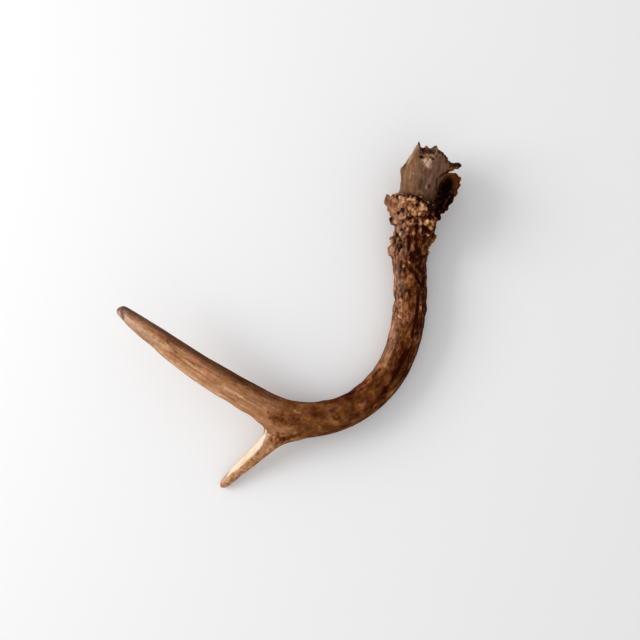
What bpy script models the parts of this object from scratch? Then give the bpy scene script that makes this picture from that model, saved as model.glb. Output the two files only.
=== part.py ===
"""A forked deer antler with the stub of skull bone it grew on, lying on its side.

Sizes are in millimetres and angles in degrees. X runs from the long point's tip to the
burr, Y from the side point's tip to the broken end of the skull bone, and Z is up. The
origin is on the floor, under the middle of the antler.
"""
import math
import random

import bmesh
import bpy
import numpy as np
from mathutils import Matrix, Vector

MM = 0.001

# Centre line and radius (x, y, z, radius) of the three limbs.
BEAM_LINE = (
    (81.5, 74.5, 20.5, 11.5),
    (78.0, 55.5, 16.5, 11.7),
    (75.8, 40.0, 14.0, 11.2),
    (76.6, 21.0, 12.6, 11.4),
    (76.0, 1.5, 12.0, 11.7),
    (71.8, -14.5, 11.4, 11.2),
    (64.0, -31.5, 11.2, 11.1),
    (52.0, -45.5, 12.3, 11.0),
    (36.5, -56.0, 14.5, 10.8),
    (18.0, -61.5, 17.0, 11.2),
    (0.0, -61.7, 19.0, 12.1),
    (-11.5, -57.0, 21.0, 10.9),
    (-21.0, -51.0, 23.0, 9.9),
)
MAIN_POINT_LINE = (
    (-11.5, -57.0, 21.0, 10.4),
    (-21.0, -51.0, 23.0, 9.9),
    (-39.7, -39.6, 28.0, 9.2),
    (-58.1, -27.7, 33.0, 8.4),
    (-75.3, -14.8, 38.0, 7.3),
    (-92.2, -1.6, 43.0, 5.6),
    (-99.1, 4.2, 45.0, 4.4),
    (-103.2, 7.8, 46.2, 3.4),
)
SIDE_POINT_LINE = (
    (5.0, -65.5, 19.5, 9.6),
    (-3.5, -68.3, 18.5, 8.8),
    (-10.8, -73.0, 16.3, 7.4),
    (-17.5, -79.7, 13.6, 5.9),
    (-27.0, -88.6, 10.2, 4.9),
    (-38.0, -98.7, 6.2, 4.1),
    (-44.5, -105.0, 3.8, 3.2),
    (-46.8, -107.4, 3.0, 2.3),
)

# The burr: a flared ring of pearled antler round the foot of the beam.
BURR_CENTRE = Vector((81.4, 77.8, 21.0))
BURR_RISE = 23.0
BURR_LEAN = 11.0
BURR_ROOT_REACH = 10.5
BURR_ROOT_LIFT = -20.0
BURR_ROOT_SAG = 4.4
BURR_FLARE = 1.6
BURR_NECK_RISE = 0.35
BURR_WAIST_RISE = 0.7
BURR_WALL = 3.4
BURR_LIP = 2.4
BURR_LIP_TILT = 0.8
BURR_DISH_LIFT = 2.5
BURR_FLOOR_REACH = 9.0
BURR_FLOOR_LIFT = -5.0
# Crest of the burr (angle round the axis, distance from it, height along it).
# Angle 0 is the +X side, 90 the upper side, 180 the -X side and 270 the floor side.
BURR_CREST = (
    (0, 23.2, 12.5),
    (30, 23.6, 6.0),
    (58, 24.0, -4.0),
    (75, 19.0, 2.0),
    (90, 17.8, 6.5),
    (120, 18.3, 5.0),
    (150, 18.8, 2.5),
    (180, 21.5, -2.0),
    (215, 20.5, -4.5),
    (250, 21.5, 3.0),
    (280, 23.0, 8.0),
    (305, 26.5, 15.5),
    (330, 26.3, 16.0),
)
PEARL_JITTER = 0.35
CREST_PEARLS = 34
CREST_PEARL_RADIUS = (1.3, 2.3)
CREST_PEARL_SINK = 0.9
CREST_PEARL_SHIFT = (-0.8, 0.6)
FLARE_PEARLS = 30
FLARE_PEARL_RADIUS = (1.2, 2.2)
FLARE_PEARL_RISE = (0.3, 0.9)

# Larger knobs of the burr and the foot of the beam (x, y, z, radius).
KNOBS = (
    (81.5, 70.5, 36.5, 3.0),
    (76.0, 69.5, 35.5, 3.2),
    (70.0, 74.0, 34.0, 2.9),
    (87.0, 63.0, 32.0, 2.7),
    (87.5, 59.0, 28.5, 2.3),
    (85.0, 55.5, 26.0, 2.2),
    (64.0, 65.0, 15.5, 2.6),
    (90.0, 55.5, 15.0, 3.1),
    (65.0, 79.0, 27.0, 2.3),
    (64.8, 52.7, 17.0, 2.9),
    (64.2, 45.8, 16.0, 4.2),
    (67.0, 21.0, 13.0, 2.9),
    (84.6, 45.3, 14.0, 3.2),
    (84.2, 31.2, 13.0, 3.2),
    (83.8, 10.0, 12.0, 3.3),
)
# The blunt leaf that stands out of the burr's -X side.
BURR_LEAF_LINE = (
    (70.5, 67.0, 23.0, 4.2),
    (66.0, 72.0, 23.0, 4.0),
    (62.6, 76.5, 21.5, 3.2),
    (60.6, 79.3, 20.5, 2.2),
)

# The stub of skull bone, set on the burr's axis (height, half width, half depth, side shift).
PEDICLE_SECTIONS = (
    (-7.0, 11.2, 11.5, -2.0),
    (4.0, 11.6, 12.0, -2.1),
    (14.0, 12.7, 12.6, -2.3),
    (20.0, 13.8, 13.1, -1.6),
)
PEDICLE_TOP_SECTION = (14.8, 13.6, -1.5)
PEDICLE_EDGE_HEIGHTS = range(25, 42, 4)
# Broken edge of the bone (angle round the axis, height along it).
PEDICLE_RIM = (
    (0, 28.5),
    (30, 31.0),
    (60, 34.0),
    (88, 34.5),
    (108, 36.0),
    (120, 40.5),
    (135, 34.5),
    (155, 26.5),
    (180, 19.5),
    (210, 23.0),
    (240, 28.5),
    (270, 30.5),
    (287, 34.5),
    (294, 31.5),
    (330, 31.0),
    (345, 30.0),
)
PEDICLE_HOLLOW_LIFT = 27.5
PEDICLE_SPUR_LINE = (
    (92.0, 95.5, 29.5, 3.2),
    (98.5, 97.0, 30.5, 2.6),
    (103.9, 97.9, 31.0, 2.1),
)

# Where the antler is parted into nodes (point on the plane, direction of the outer part).
MAIN_POINT_CUT = (Vector((-19.5, -52.0, 22.5)), Vector((-0.83, 0.50, 0.22)))
SIDE_POINT_CUT = (Vector((-12.0, -74.0, 16.0)), Vector((-0.67, -0.66, -0.28)))
CUT_REACH = 17.0
CUT_LENGTH = 140.0
GAP = 0.3
SEAT_GAP = 0.45

# The three places that the antler rests on (x, y): burr, bend and side point's tip.
SUPPORTS = ((84.0, 86.0), (66.0, -22.0), (-45.0, -106.0))
SUPPORT_REACH = 16.0
LEVELLING_ROUNDS = 3

LIMB_SIDES = 28
LIMB_STEPS = 6
PEDICLE_STEPS = 3
END_BULGE = 0.6
RING_SIDES = 60
VOXEL = 1.1
SMOOTH_ROUNDS = 2
ANTLER_FACES_KEPT = 0.105
PEDICLE_FACES_KEPT = 0.15

ANTLER_COLOUR = (0.23, 0.125, 0.065)
MAIN_POINT_COLOUR = (0.26, 0.145, 0.075)
SIDE_POINT_COLOUR = (0.42, 0.28, 0.17)
BONE_COLOUR = (0.20, 0.145, 0.11)
SEED = 11


def smooth_curve(rows, steps):
    """Catmull-Rom points through rows of numbers, with steps to each span."""
    rows = np.array(rows, dtype=float)
    points = []
    for span in range(len(rows) - 1):
        start, end = rows[span], rows[span + 1]
        before = rows[span - 1] if span else 2 * start - end
        after = rows[span + 2] if span + 2 < len(rows) else 2 * end - start
        for step in range(steps):
            t = step / steps
            points.append(0.5 * (2 * start + (end - before) * t
                                 + (2 * before - 5 * start + 4 * end - after) * t ** 2
                                 + (3 * start - before - 3 * end + after) * t ** 3))
    points.append(rows[-1])
    return np.array(points)


def round_the_axis(table, angle):
    """Values of a table that starts with an angle, at any angle, joined end to start."""
    angles = [row[0] for row in table] + [table[0][0] + 360]
    columns = [[row[k] for row in table] + [table[0][k]] for k in range(1, len(table[0]))]
    return [float(np.interp(angle % 360, angles, column)) for column in columns]


def add_object(name, bm):
    """A scene object from a bmesh measured in millimetres, with its faces turned outward."""
    bmesh.ops.triangulate(bm, faces=bm.faces)
    bmesh.ops.recalc_face_normals(bm, faces=bm.faces)
    bmesh.ops.scale(bm, vec=(MM, MM, MM), verts=bm.verts)
    mesh = bpy.data.meshes.new(name)
    bm.to_mesh(mesh)
    bm.free()
    part = bpy.data.objects.new(name, mesh)
    bpy.context.collection.objects.link(part)
    return part


def skin_rings(bm, rings, first_cap, last_cap):
    """Join rings of points into one closed skin, with a point closing each end."""
    loops = [[bm.verts.new(point) for point in ring] for ring in rings]
    sides = len(loops[0])
    for lower, upper in zip(loops, loops[1:]):
        for k in range(sides):
            bm.faces.new((lower[k], lower[(k + 1) % sides], upper[(k + 1) % sides], upper[k]))
    for loop, cap in ((loops[0], first_cap), (loops[-1], last_cap)):
        tip = bm.verts.new(cap)
        for k in range(sides):
            bm.faces.new((loop[k], loop[(k + 1) % sides], tip))


def add_limb(bm, line):
    """A round limb along a line of (x, y, z, radius), with rounded ends."""
    rows = smooth_curve(line, LIMB_STEPS)
    centres = [Vector(row[:3]) for row in rows]
    ahead = [(centres[min(k + 1, len(rows) - 1)] - centres[max(k - 1, 0)]).normalized()
             for k in range(len(rows))]
    side = Vector((0, 0, 1)).cross(ahead[0]).normalized()
    rings = []
    radii = [float(row[3]) for row in rows]
    for centre, forward, radius in zip(centres, ahead, radii):
        side = (side - forward * side.dot(forward)).normalized()
        up = forward.cross(side)
        turns = (2 * math.pi * k / LIMB_SIDES for k in range(LIMB_SIDES))
        rings.append([centre + radius * (math.cos(a) * side + math.sin(a) * up) for a in turns])
    skin_rings(bm, rings, centres[0] - ahead[0] * radii[0] * END_BULGE,
               centres[-1] + ahead[-1] * radii[-1] * END_BULGE)


def add_pearl(bm, place, radius):
    """A small round pearl."""
    bmesh.ops.create_icosphere(bm, subdivisions=2, radius=radius,
                               matrix=Matrix.Translation(place))


def burr_axes():
    """Directions of the burr: to its side, to its upper side and along its axis."""
    rise, lean = math.radians(BURR_RISE), math.radians(BURR_LEAN)
    along = Vector((math.cos(rise) * math.sin(lean), math.cos(rise) * math.cos(lean),
                    math.sin(rise)))
    side = Vector((math.cos(lean), -math.sin(lean), 0))
    return side, side.cross(along), along


def burr_point(angle, reach, lift):
    """A point at an angle round the burr's axis, a distance from it and a height along it."""
    side, upper, along = burr_axes()
    sag = BURR_ROOT_SAG * (min(lift, 0) / BURR_ROOT_LIFT) ** 2
    turn = math.radians(angle)
    return (BURR_CENTRE + along * lift + Vector((0, 0, sag))
            + reach * (math.cos(turn) * side + math.sin(turn) * upper))


def flare_point(angle, rise):
    """Distance and height of the burr's outer face: rise 0 at the beam, 1 at the crest."""
    reach, lift = round_the_axis(BURR_CREST, angle)
    return (BURR_ROOT_REACH + (reach - BURR_ROOT_REACH) * rise ** BURR_FLARE,
            BURR_ROOT_LIFT + (lift - BURR_ROOT_LIFT) * rise)


def burr_section(angle):
    """Distance and height of each point of the burr's section, outside to inside."""
    crest_reach, crest_lift = flare_point(angle, 1.0)
    waist_reach, waist_lift = flare_point(angle, BURR_WAIST_RISE)
    return ((BURR_ROOT_REACH, BURR_ROOT_LIFT),
            flare_point(angle, BURR_NECK_RISE),
            (waist_reach, waist_lift),
            (crest_reach, crest_lift - BURR_LIP_TILT),
            (crest_reach - BURR_LIP, crest_lift + BURR_LIP_TILT),
            (max(waist_reach - BURR_WALL, BURR_FLOOR_REACH), waist_lift + BURR_DISH_LIFT),
            (BURR_FLOOR_REACH, BURR_FLOOR_LIFT))


def add_burr(bm, chance):
    """The flared ring, its leaf, its knobs and its small pearls."""
    angles = [360 * k / RING_SIDES for k in range(RING_SIDES)]
    sections = [burr_section(angle) for angle in angles]
    rings = [[burr_point(angle, *section[k]) for angle, section in zip(angles, sections)]
             for k in range(len(sections[0]))]
    skin_rings(bm, rings, burr_point(0, 0, BURR_ROOT_LIFT), burr_point(0, 0, BURR_FLOOR_LIFT))
    add_limb(bm, BURR_LEAF_LINE)
    for x, y, z, radius in KNOBS:
        add_pearl(bm, (x, y, z), radius)
    for k in range(CREST_PEARLS):
        angle = 360 * (k + chance.uniform(-PEARL_JITTER, PEARL_JITTER)) / CREST_PEARLS
        reach, lift = flare_point(angle, 1.0)
        place = burr_point(angle, reach - CREST_PEARL_SINK,
                           lift + chance.uniform(*CREST_PEARL_SHIFT))
        add_pearl(bm, place, chance.uniform(*CREST_PEARL_RADIUS))
    for k in range(FLARE_PEARLS):
        angle = 360 * (k + chance.uniform(-PEARL_JITTER, PEARL_JITTER)) / FLARE_PEARLS
        place = burr_point(angle, *flare_point(angle, chance.uniform(*FLARE_PEARL_RISE)))
        add_pearl(bm, place, chance.uniform(*FLARE_PEARL_RADIUS))


def pedicle_ring(section, margin=0.0):
    """One ring of the skull bone, cut off at its broken edge where that is lower."""
    height, half_width, half_depth, shift = section
    side, upper, along = burr_axes()
    ring = []
    for k in range(RING_SIDES):
        angle = 360 * k / RING_SIDES
        turn = math.radians(angle)
        across = (half_width + margin) * math.cos(turn) + shift
        deep = (half_depth + margin) * math.sin(turn)
        lift = min(height, round_the_axis(PEDICLE_RIM, angle)[0])
        ring.append(BURR_CENTRE + along * lift + side * across + upper * deep)
    return ring


def add_pedicle(bm, margin=0.0):
    """The skull bone from its seat in the burr to its broken edge."""
    side, _, along = burr_axes()
    sections = list(smooth_curve(PEDICLE_SECTIONS, PEDICLE_STEPS))
    sections += [(height, *PEDICLE_TOP_SECTION) for height in PEDICLE_EDGE_HEIGHTS]
    rings = [pedicle_ring(section, margin) for section in sections]
    rings[0] = [point - along * margin for point in rings[0]]
    seat, _, _, shift = PEDICLE_SECTIONS[0]
    middle = BURR_CENTRE + side * shift
    skin_rings(bm, rings, middle + along * (seat - margin), middle + along * PEDICLE_HOLLOW_LIFT)


def soften(part, faces_kept):
    """Melt the overlapping shapes of an object into one skin and thin its triangles."""
    remesh = part.modifiers.new("One skin", 'REMESH')
    remesh.mode = 'VOXEL'
    remesh.voxel_size = VOXEL * MM
    smooth = part.modifiers.new("Soft", 'SMOOTH')
    smooth.factor = 0.5
    smooth.iterations = SMOOTH_ROUNDS
    thin = part.modifiers.new("Thin", 'DECIMATE')
    thin.ratio = faces_kept
    thin.use_collapse_triangulate = True
    settle_modifiers(part)


def settle_modifiers(part):
    """Keep the shape that an object's modifiers give it, and drop the modifiers."""
    bpy.context.view_layer.update()
    shape = part.evaluated_get(bpy.context.evaluated_depsgraph_get())
    mesh = bpy.data.meshes.new_from_object(shape)
    part.modifiers.clear()
    part.data = mesh


def join_or_cut(part, other, operation):
    """Join another shape to an object, or cut it away or down to it, and remove the other."""
    step = part.modifiers.new("Cut", 'BOOLEAN')
    step.operation = operation
    step.solver = 'EXACT'
    step.object = other
    settle_modifiers(part)
    bpy.data.objects.remove(other)


def outer_block(cut, gap):
    """A block over everything past a cut's plane, near the limb that it crosses."""
    point, outward = cut
    bm = bmesh.new()
    bmesh.ops.create_cube(bm, size=1.0)
    bmesh.ops.scale(bm, vec=(2 * CUT_REACH, 2 * CUT_REACH, CUT_LENGTH), verts=bm.verts)
    turn = outward.to_track_quat('Z', 'Y').to_matrix().to_4x4()
    centre = point + outward.normalized() * (CUT_LENGTH / 2 + gap)
    bmesh.ops.transform(bm, matrix=Matrix.Translation(centre) @ turn, verts=bm.verts)
    return add_object("Outer block", bm)


def part_antler(antler, cut, name):
    """Part a limb from the antler at a cut, leaving a thin gap, and return the limb."""
    limb = antler.copy()
    limb.data = antler.data.copy()
    limb.name = name
    bpy.context.collection.objects.link(limb)
    join_or_cut(limb, outer_block(cut, GAP / 2), 'INTERSECT')
    join_or_cut(antler, outer_block(cut, -GAP / 2), 'DIFFERENCE')
    return limb


def build_antler():
    """Beam, burr and both points as one grown piece."""
    bm = bmesh.new()
    for line in (BEAM_LINE, MAIN_POINT_LINE, SIDE_POINT_LINE):
        add_limb(bm, line)
    add_burr(bm, random.Random(SEED))
    antler = add_object("beam", bm)
    soften(antler, ANTLER_FACES_KEPT)
    return antler


def build_pedicle():
    """The broken stub of skull bone with its side spur."""
    bm = bmesh.new()
    add_pedicle(bm)
    add_limb(bm, PEDICLE_SPUR_LINE)
    pedicle = add_object("pedicle", bm)
    soften(pedicle, PEDICLE_FACES_KEPT)
    return pedicle


def seat_cutter():
    """The bone's own shape, a little larger, which hollows its seat in the burr."""
    bm = bmesh.new()
    add_pedicle(bm, SEAT_GAP)
    return add_object("Seat cutter", bm)


def lowest_point(parts, near):
    """The lowest point of the antler near a place seen from above."""
    points = [v.co for part in parts for v in part.data.vertices]
    close = [p for p in points if (p.xy - Vector(near) * MM).length < SUPPORT_REACH * MM]
    return min(close, key=lambda p: p.z)


def lay_on_floor(parts):
    """Turn and drop the antler so that it rests on its burr, its bend and its side point."""
    for _ in range(LEVELLING_ROUNDS):
        burr, bend, tip = (lowest_point(parts, near) for near in SUPPORTS)
        upright = (tip - burr).cross(bend - burr)
        turn = upright.rotation_difference(Vector((0, 0, 1))).to_matrix().to_4x4()
        for part in parts:
            part.data.transform(turn)
    points = [v.co for part in parts for v in part.data.vertices]
    low = Vector(min(p[k] for p in points) for k in range(3))
    high = Vector(max(p[k] for p in points) for k in range(3))
    shift = Matrix.Translation((-(low.x + high.x) / 2, -(low.y + high.y) / 2, -low.z))
    for part in parts:
        part.data.transform(shift)


def finish(part, material_name, colour, roughness):
    """Give a part its material and smooth shading."""
    material = bpy.data.materials.new(material_name)
    material.use_nodes = True
    shader = material.node_tree.nodes["Principled BSDF"]
    shader.inputs["Base Color"].default_value = (*colour, 1.0)
    shader.inputs["Roughness"].default_value = roughness
    shader.inputs["Metallic"].default_value = 0.0
    part.data.materials.clear()
    part.data.materials.append(material)
    part.data.shade_smooth()


def build():
    """Build the four parts of the antler."""
    for old in list(bpy.data.objects):
        bpy.data.objects.remove(old)
    beam = build_antler()
    pedicle = build_pedicle()
    join_or_cut(beam, seat_cutter(), 'DIFFERENCE')
    main_point = part_antler(beam, MAIN_POINT_CUT, "main_point")
    side_point = part_antler(beam, SIDE_POINT_CUT, "side_point")
    lay_on_floor([beam, pedicle, main_point, side_point])
    finish(beam, "Antler", ANTLER_COLOUR, 0.5)
    finish(main_point, "Antler of the long point", MAIN_POINT_COLOUR, 0.42)
    finish(side_point, "Antler of the side point", SIDE_POINT_COLOUR, 0.4)
    finish(pedicle, "Skull bone", BONE_COLOUR, 0.6)


build()
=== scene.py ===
"""The looks of a forked deer antler: fine pearls, grooves and pits, worn colours, painted light and
shade.
"""
import math
import random
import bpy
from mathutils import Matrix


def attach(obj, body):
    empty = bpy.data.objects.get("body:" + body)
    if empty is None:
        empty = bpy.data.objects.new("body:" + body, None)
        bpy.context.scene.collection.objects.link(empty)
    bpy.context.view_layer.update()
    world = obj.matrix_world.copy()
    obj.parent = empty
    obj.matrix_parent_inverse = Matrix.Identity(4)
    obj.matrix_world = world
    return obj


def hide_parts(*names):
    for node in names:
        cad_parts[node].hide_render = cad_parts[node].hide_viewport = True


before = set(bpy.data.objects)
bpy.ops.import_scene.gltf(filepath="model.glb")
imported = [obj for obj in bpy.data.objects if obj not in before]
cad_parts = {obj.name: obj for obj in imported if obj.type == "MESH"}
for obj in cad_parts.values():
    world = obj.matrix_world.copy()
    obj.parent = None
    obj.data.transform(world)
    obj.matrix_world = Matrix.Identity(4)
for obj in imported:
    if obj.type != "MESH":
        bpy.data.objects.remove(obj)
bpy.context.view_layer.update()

from types import SimpleNamespace

import bmesh
import bpy
import numpy as np
from mathutils import Vector, noise
from mathutils.bvhtree import BVHTree
from mathutils.kdtree import KDTree

MM = 0.001

# ---------------------------------------------------------------- the photograph's view
CAMERA_HEIGHT = 578 * MM
CAMERA_PLACE = (17.1 * MM, 0.2 * MM)
VIEW_HALF_WIDTH = 211.2 * MM
HALF_PIXELS = 320
PIXEL_SPREAD = VIEW_HALF_WIDTH / CAMERA_HEIGHT / HALF_PIXELS    # a pixel's width at 1 m

# ---------------------------------------------------------------- lines and places, in mm
# Centre line of the beam and the long point, from the middle of the burr to the tip.
MAIN_LINE = (
    (80.3, 72.9, 19), (76.9, 53.9, 15.3), (74.7, 38.3, 13), (75.6, 19.3, 12), (75, -0.2, 11.7),
    (70.8, -16.2, 11.3), (63, -33.2, 11.2), (51, -47.2, 12.3), (35.4, -57.6, 14.4),
    (16.9, -63.1, 16.7), (-1.2, -63.3, 18.4), (-12.7, -58.5, 20.1), (-22.2, -52.5, 21.9),
    (-41, -41, 26.4), (-59.5, -29.1, 30.8), (-76.8, -16.1, 35.3), (-93.7, -2.8, 39.8),
    (-107, 8.5, 43.3),
)
# Centre line of the side point, from the fork to the tip.
SIDE_LINE = (
    (-1, -66, 18.5), (-4.6, -69.9, 18), (-11.9, -74.6, 15.7), (-18.6, -81.4, 13), (-28, -90.3, 9.6),
    (-38.9, -100.5, 5.6), (-49.5, -111, 1.8),
)
FORK_PLACE = 184.0                      # the side point's start, measured along the main line
BURR_CENTRE = (80.2, 76.2, 19.5)
BURR_AXIS = (0.169, 0.910, 0.379)
# Where the long point and the side point end and the beam begins: middle, direction, reach.
MAIN_CUT = ((-20.68, -53.57, 21.63), (0.84, -0.51, -0.20), 16.0)
SIDE_CUT = ((-12.99, -75.68, 15.26), (0.68, 0.68, 0.29), 11.0)

# ---------------------------------------------------------------- fineness, counts, smoothing
VOXEL = 0.56 * MM
BONE_VOXEL = 0.45 * MM
JOIN = 1e-6                             # points closer than this are one
SWELL = 0.28 * MM                       # how far the CAD's shapes swell, to overlap
DRAWN_IN = 1.2 * SWELL                  # how far the finished skins are drawn in again
SEED = 5
NOISE_STEP = 17.3                       # shift between the noises of two seeds
REBOUND = 1.04                          # a smoothing's way back out, as a share of its way in
HOLLOW_ROUNDS = (6, 30)                 # rounds of blur for what lies near by, and for wider
SIDE_BLEND = (-1.0 * MM, 8.0 * MM)      # where the side point's coordinates take over
RIM_NOISE = 0.6                         # how uneven a mark's rim is
RIM_REACH = 1.4                         # how far past its radius a mark can reach
TAPER = 5                               # how fast a line of marks rises from its ends
NARROWNESS = 5                          # how narrow the valleys between knobs and flutes are
PEARL_COUNT = 190
PEARL_GROWTH = 1.22                     # how many times their drawn size the placed pearls are
KNOB_COUNT = 260
PIT_COUNT = 260
PORE_COUNT = 200
# Smoothing beyond a place along the main line: rounds, share, and where it sets in, in mm.
SHAFT_SMOOTHING = (24, 0.6, 22, 50)
POINT_SMOOTHING = (12, 0.6, 130, 160)
FINE_SMOOTHING = (12, 0.5, 80, 110)

# ---------------------------------------------------------------- relief along the main line
# Sizes of the seeded pearls, knobs and pits at places along the line, all in mm.
PEARL_SIZES = ((-40, 2.1), (12, 2), (24, 1.6), (34, 0))
KNOB_SIZES = ((8, 0), (16, 1.7), (70, 1.6), (95, 1.2), (150, 1), (175, 0))
KNOB_HEIGHTS = ((16, 0.6), (60, 0.35), (95, 0.07), (170, 0.03))
PIT_SIZES = ((-20, 0), (12, 1.3), (70, 1.2), (160, 0.9), (230, 0.6), (250, 0))
PIT_DEPTHS = ((70, 1), (105, 0.3))      # as shares of their full depth
# Heights of the limbs' lumps, roughness, knobs, flutes and grain.
LUMPY = ((0, 0.6), (20, 1.2), (60, 1.1), (90, 0.6), (200, 0.4), (300, 0.35))
ROUGH = ((12, 1), (22, 0.6), (60, 0.45), (90, 0.15), (130, 0))
KNOBBY = ((8, 0.05), (22, 0.30), (50, 0.18), (90, 0.05), (170, 0.02), (230, 0.02))
FLUTED = ((10, 0.05), (30, 0.15), (80, 0.10), (110, 0.05), (160, 0.02), (310, 0.02))
GRAINY = ((0, 0.1), (20, 0.18), (75, 0.14), (105, 0.04), (250, 0.02))

# ---------------------------------------------------------------- marks seen in the photograph
# Where the outline is drawn to the photograph's: x, y, shift to the right and down, and
# radius, all in its pixels.
NUDGES = (
    (384, 202, 0, 0, 7), (387, 223, 2.2, 0, 6), (388, 241, 2.6, 0, 8), (386, 251, 2.4, 0, 8),
    (391, 268, 1, 0, 8), (391, 278, 2, 0, 9), (391, 289, 1.4, 0, 8), (391, 300, 2.3, 0, 9),
    (391, 311, 0.8, 0, 8), (385, 345, 1.2, 0.3, 12), (378, 357, 1.1, 0.8, 11),
    (370, 368, 0.9, 0.9, 11), (360, 379, 0.7, 1, 11), (348, 389, 0.4, 1.1, 12),
    (334, 397, 0, 0.8, 12), (429, 288, -1.4, 0, 14), (429, 304, -1.6, 0, 13),
    (429, 319, -2.8, 0, 13), (427, 331, -3, -0.3, 13), (424, 343, -2, -0.6, 14),
    (418, 356, -0.9, -0.4, 15), (411, 371, -0.8, -0.5, 18), (401, 387, -0.9, -0.9, 20),
    (387, 402, -0.6, -0.7, 20), (370, 417, -0.3, -0.7, 20), (355, 426, -0.1, -0.5, 18),
    (386, 195, 0.2, -1.6, 5), (454, 177, 1.8, -3.6, 9), (460, 180, 1.2, -1, 6),
    (389, 214, -1, 0, 5), (460, 191, -2, -1, 6), (457, 199, -3, -0.4, 6), (452, 208, -1.8, -1.2, 6),
    (446, 217, -5.5, -3.5, 7), (435, 228, 1.6, 0, 6), (437, 240, -2.4, -0.8, 6),
    (395, 229, -1.4, 0, 5), (428, 311, -1.2, 0, 6), (432, 248, -3.8, 0, 6), (430, 257, -1, 0, 6),
    (119, 311, -1.3, -0.2, 8), (266, 429, -2.2, 0, 6), (250, 417, 0.5, -0.8, 10),
    (226, 403, 0.3, -0.7, 12), (150, 350, 0.4, -0.5, 14), (240, 474, -0.4, -0.5, 8),
    (399, 183, 0.6, 0, 10), (400, 171, -0.4, 0, 6),
)
# The broken edge of the stub of bone, drawn in the photograph's pixels.
BROKEN_EDGE = (
    (399.6, 167), (401, 166.4), (402.6, 166), (404.2, 164), (408, 157.6), (412, 151.2),
    (416.5, 143.6), (418.2, 142), (419, 139.8), (420.2, 142), (421.2, 146.4), (423.5, 146.8),
    (425, 145.8), (427.5, 145.4), (430, 147.8), (431.5, 147), (433.5, 145.4), (436, 144.2),
    (437.6, 144.6), (438, 148.6), (441, 150), (444, 152.2), (447.5, 155.7), (449.3, 159.7),
)
BREAK_REACH = 9.0                       # pixels below the edge that shift with it
BREAK_SIDES = ((399.4, 401.4), (451.5, 449.5))      # where the shift sets in from either side
PORES_FROM = 104.0                      # where the broken end starts, in mm along the burr's axis
PORES_FACING = 0.6                      # how far its faces look along that axis
PORE_SIZE = 1.1                         # in mm
# Splinters of the bone: x and y in the photograph, height above the floor and radius in mm.
SPLINTERS = (
    (456, 165, 30, 2.1), (458.2, 164.9, 30, 2), (459.4, 165.3, 30, 1.7), (450.5, 164.6, 30, 2),
    (453, 164.6, 30, 2), (456.8, 167.4, 30, 1.9), (452.6, 168.6, 29, 2), (449.6, 170, 28.5, 2.2),
    (446.8, 171.3, 28, 2.2), (451.6, 171.4, 27.5, 1.7),
)
# Pearls of the burr: x and y in the photograph, radius in mm.
PEARLS = (
    (400.5, 199, 1.8), (401, 204, 1.7), (404.3, 201, 2), (408.3, 200, 1.9), (406.5, 205.3, 1.7),
    (411.5, 203.5, 1.9), (411.5, 198.3, 1.5), (414.8, 200, 1.7), (416.6, 205.5, 1.5),
    (414.5, 211.3, 2), (409.5, 208.3, 1.4), (421, 203.2, 1.5), (424, 204.8, 1.7), (427, 206, 1.5),
    (422, 208.5, 1.8), (426.4, 209.5, 1.6), (418, 209, 1.6), (419.1, 213.7, 1.9),
    (423.7, 213.2, 1.7), (427.8, 213, 1.3), (416.5, 216.5, 1.5), (421.3, 218, 1.4),
    (422.4, 222.2, 1.5), (427.8, 222.4, 1.8), (433.3, 222, 1.8), (435, 217.8, 1.1),
    (430.8, 228, 1.9), (427.8, 234.6, 1.4), (432, 239.4, 1.9), (434.2, 230.5, 1.4),
    (419.5, 224, 1.3), (405.1, 217.6, 1.3), (392.6, 217, 0.9), (392.8, 219.5, 0.8),
    (392.8, 222.5, 0.8), (392.6, 241, 1.4), (397.4, 196, 1.6), (394.8, 198, 1.3), (433, 234.5, 1.2),
    (444, 199, 1), (447, 201.5, 1.1), (449.5, 198, 1.1), (445, 204.5, 1.1), (452, 194.5, 0.9),
    (453, 199, 1), (449, 204, 1), (441.5, 203, 1), (443.5, 207, 1.1), (439.5, 208.5, 1.2),
    (439.5, 211.5, 1.1), (438, 214, 1.2), (437, 219, 1.2), (455, 190.5, 0.8), (396, 194.6, 1),
    (403, 197, 1), (406, 197.4, 0.9), (412.6, 198.8, 0.9), (419.6, 203, 1), (426.8, 204.6, 0.9),
    (458.4, 181, 1), (456.4, 188.8, 1), (458.4, 184, 0.7), (454.4, 195.6, 0.7), (402.6, 202.6, 0.9),
    (409.6, 203.4, 0.9),
)
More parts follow.
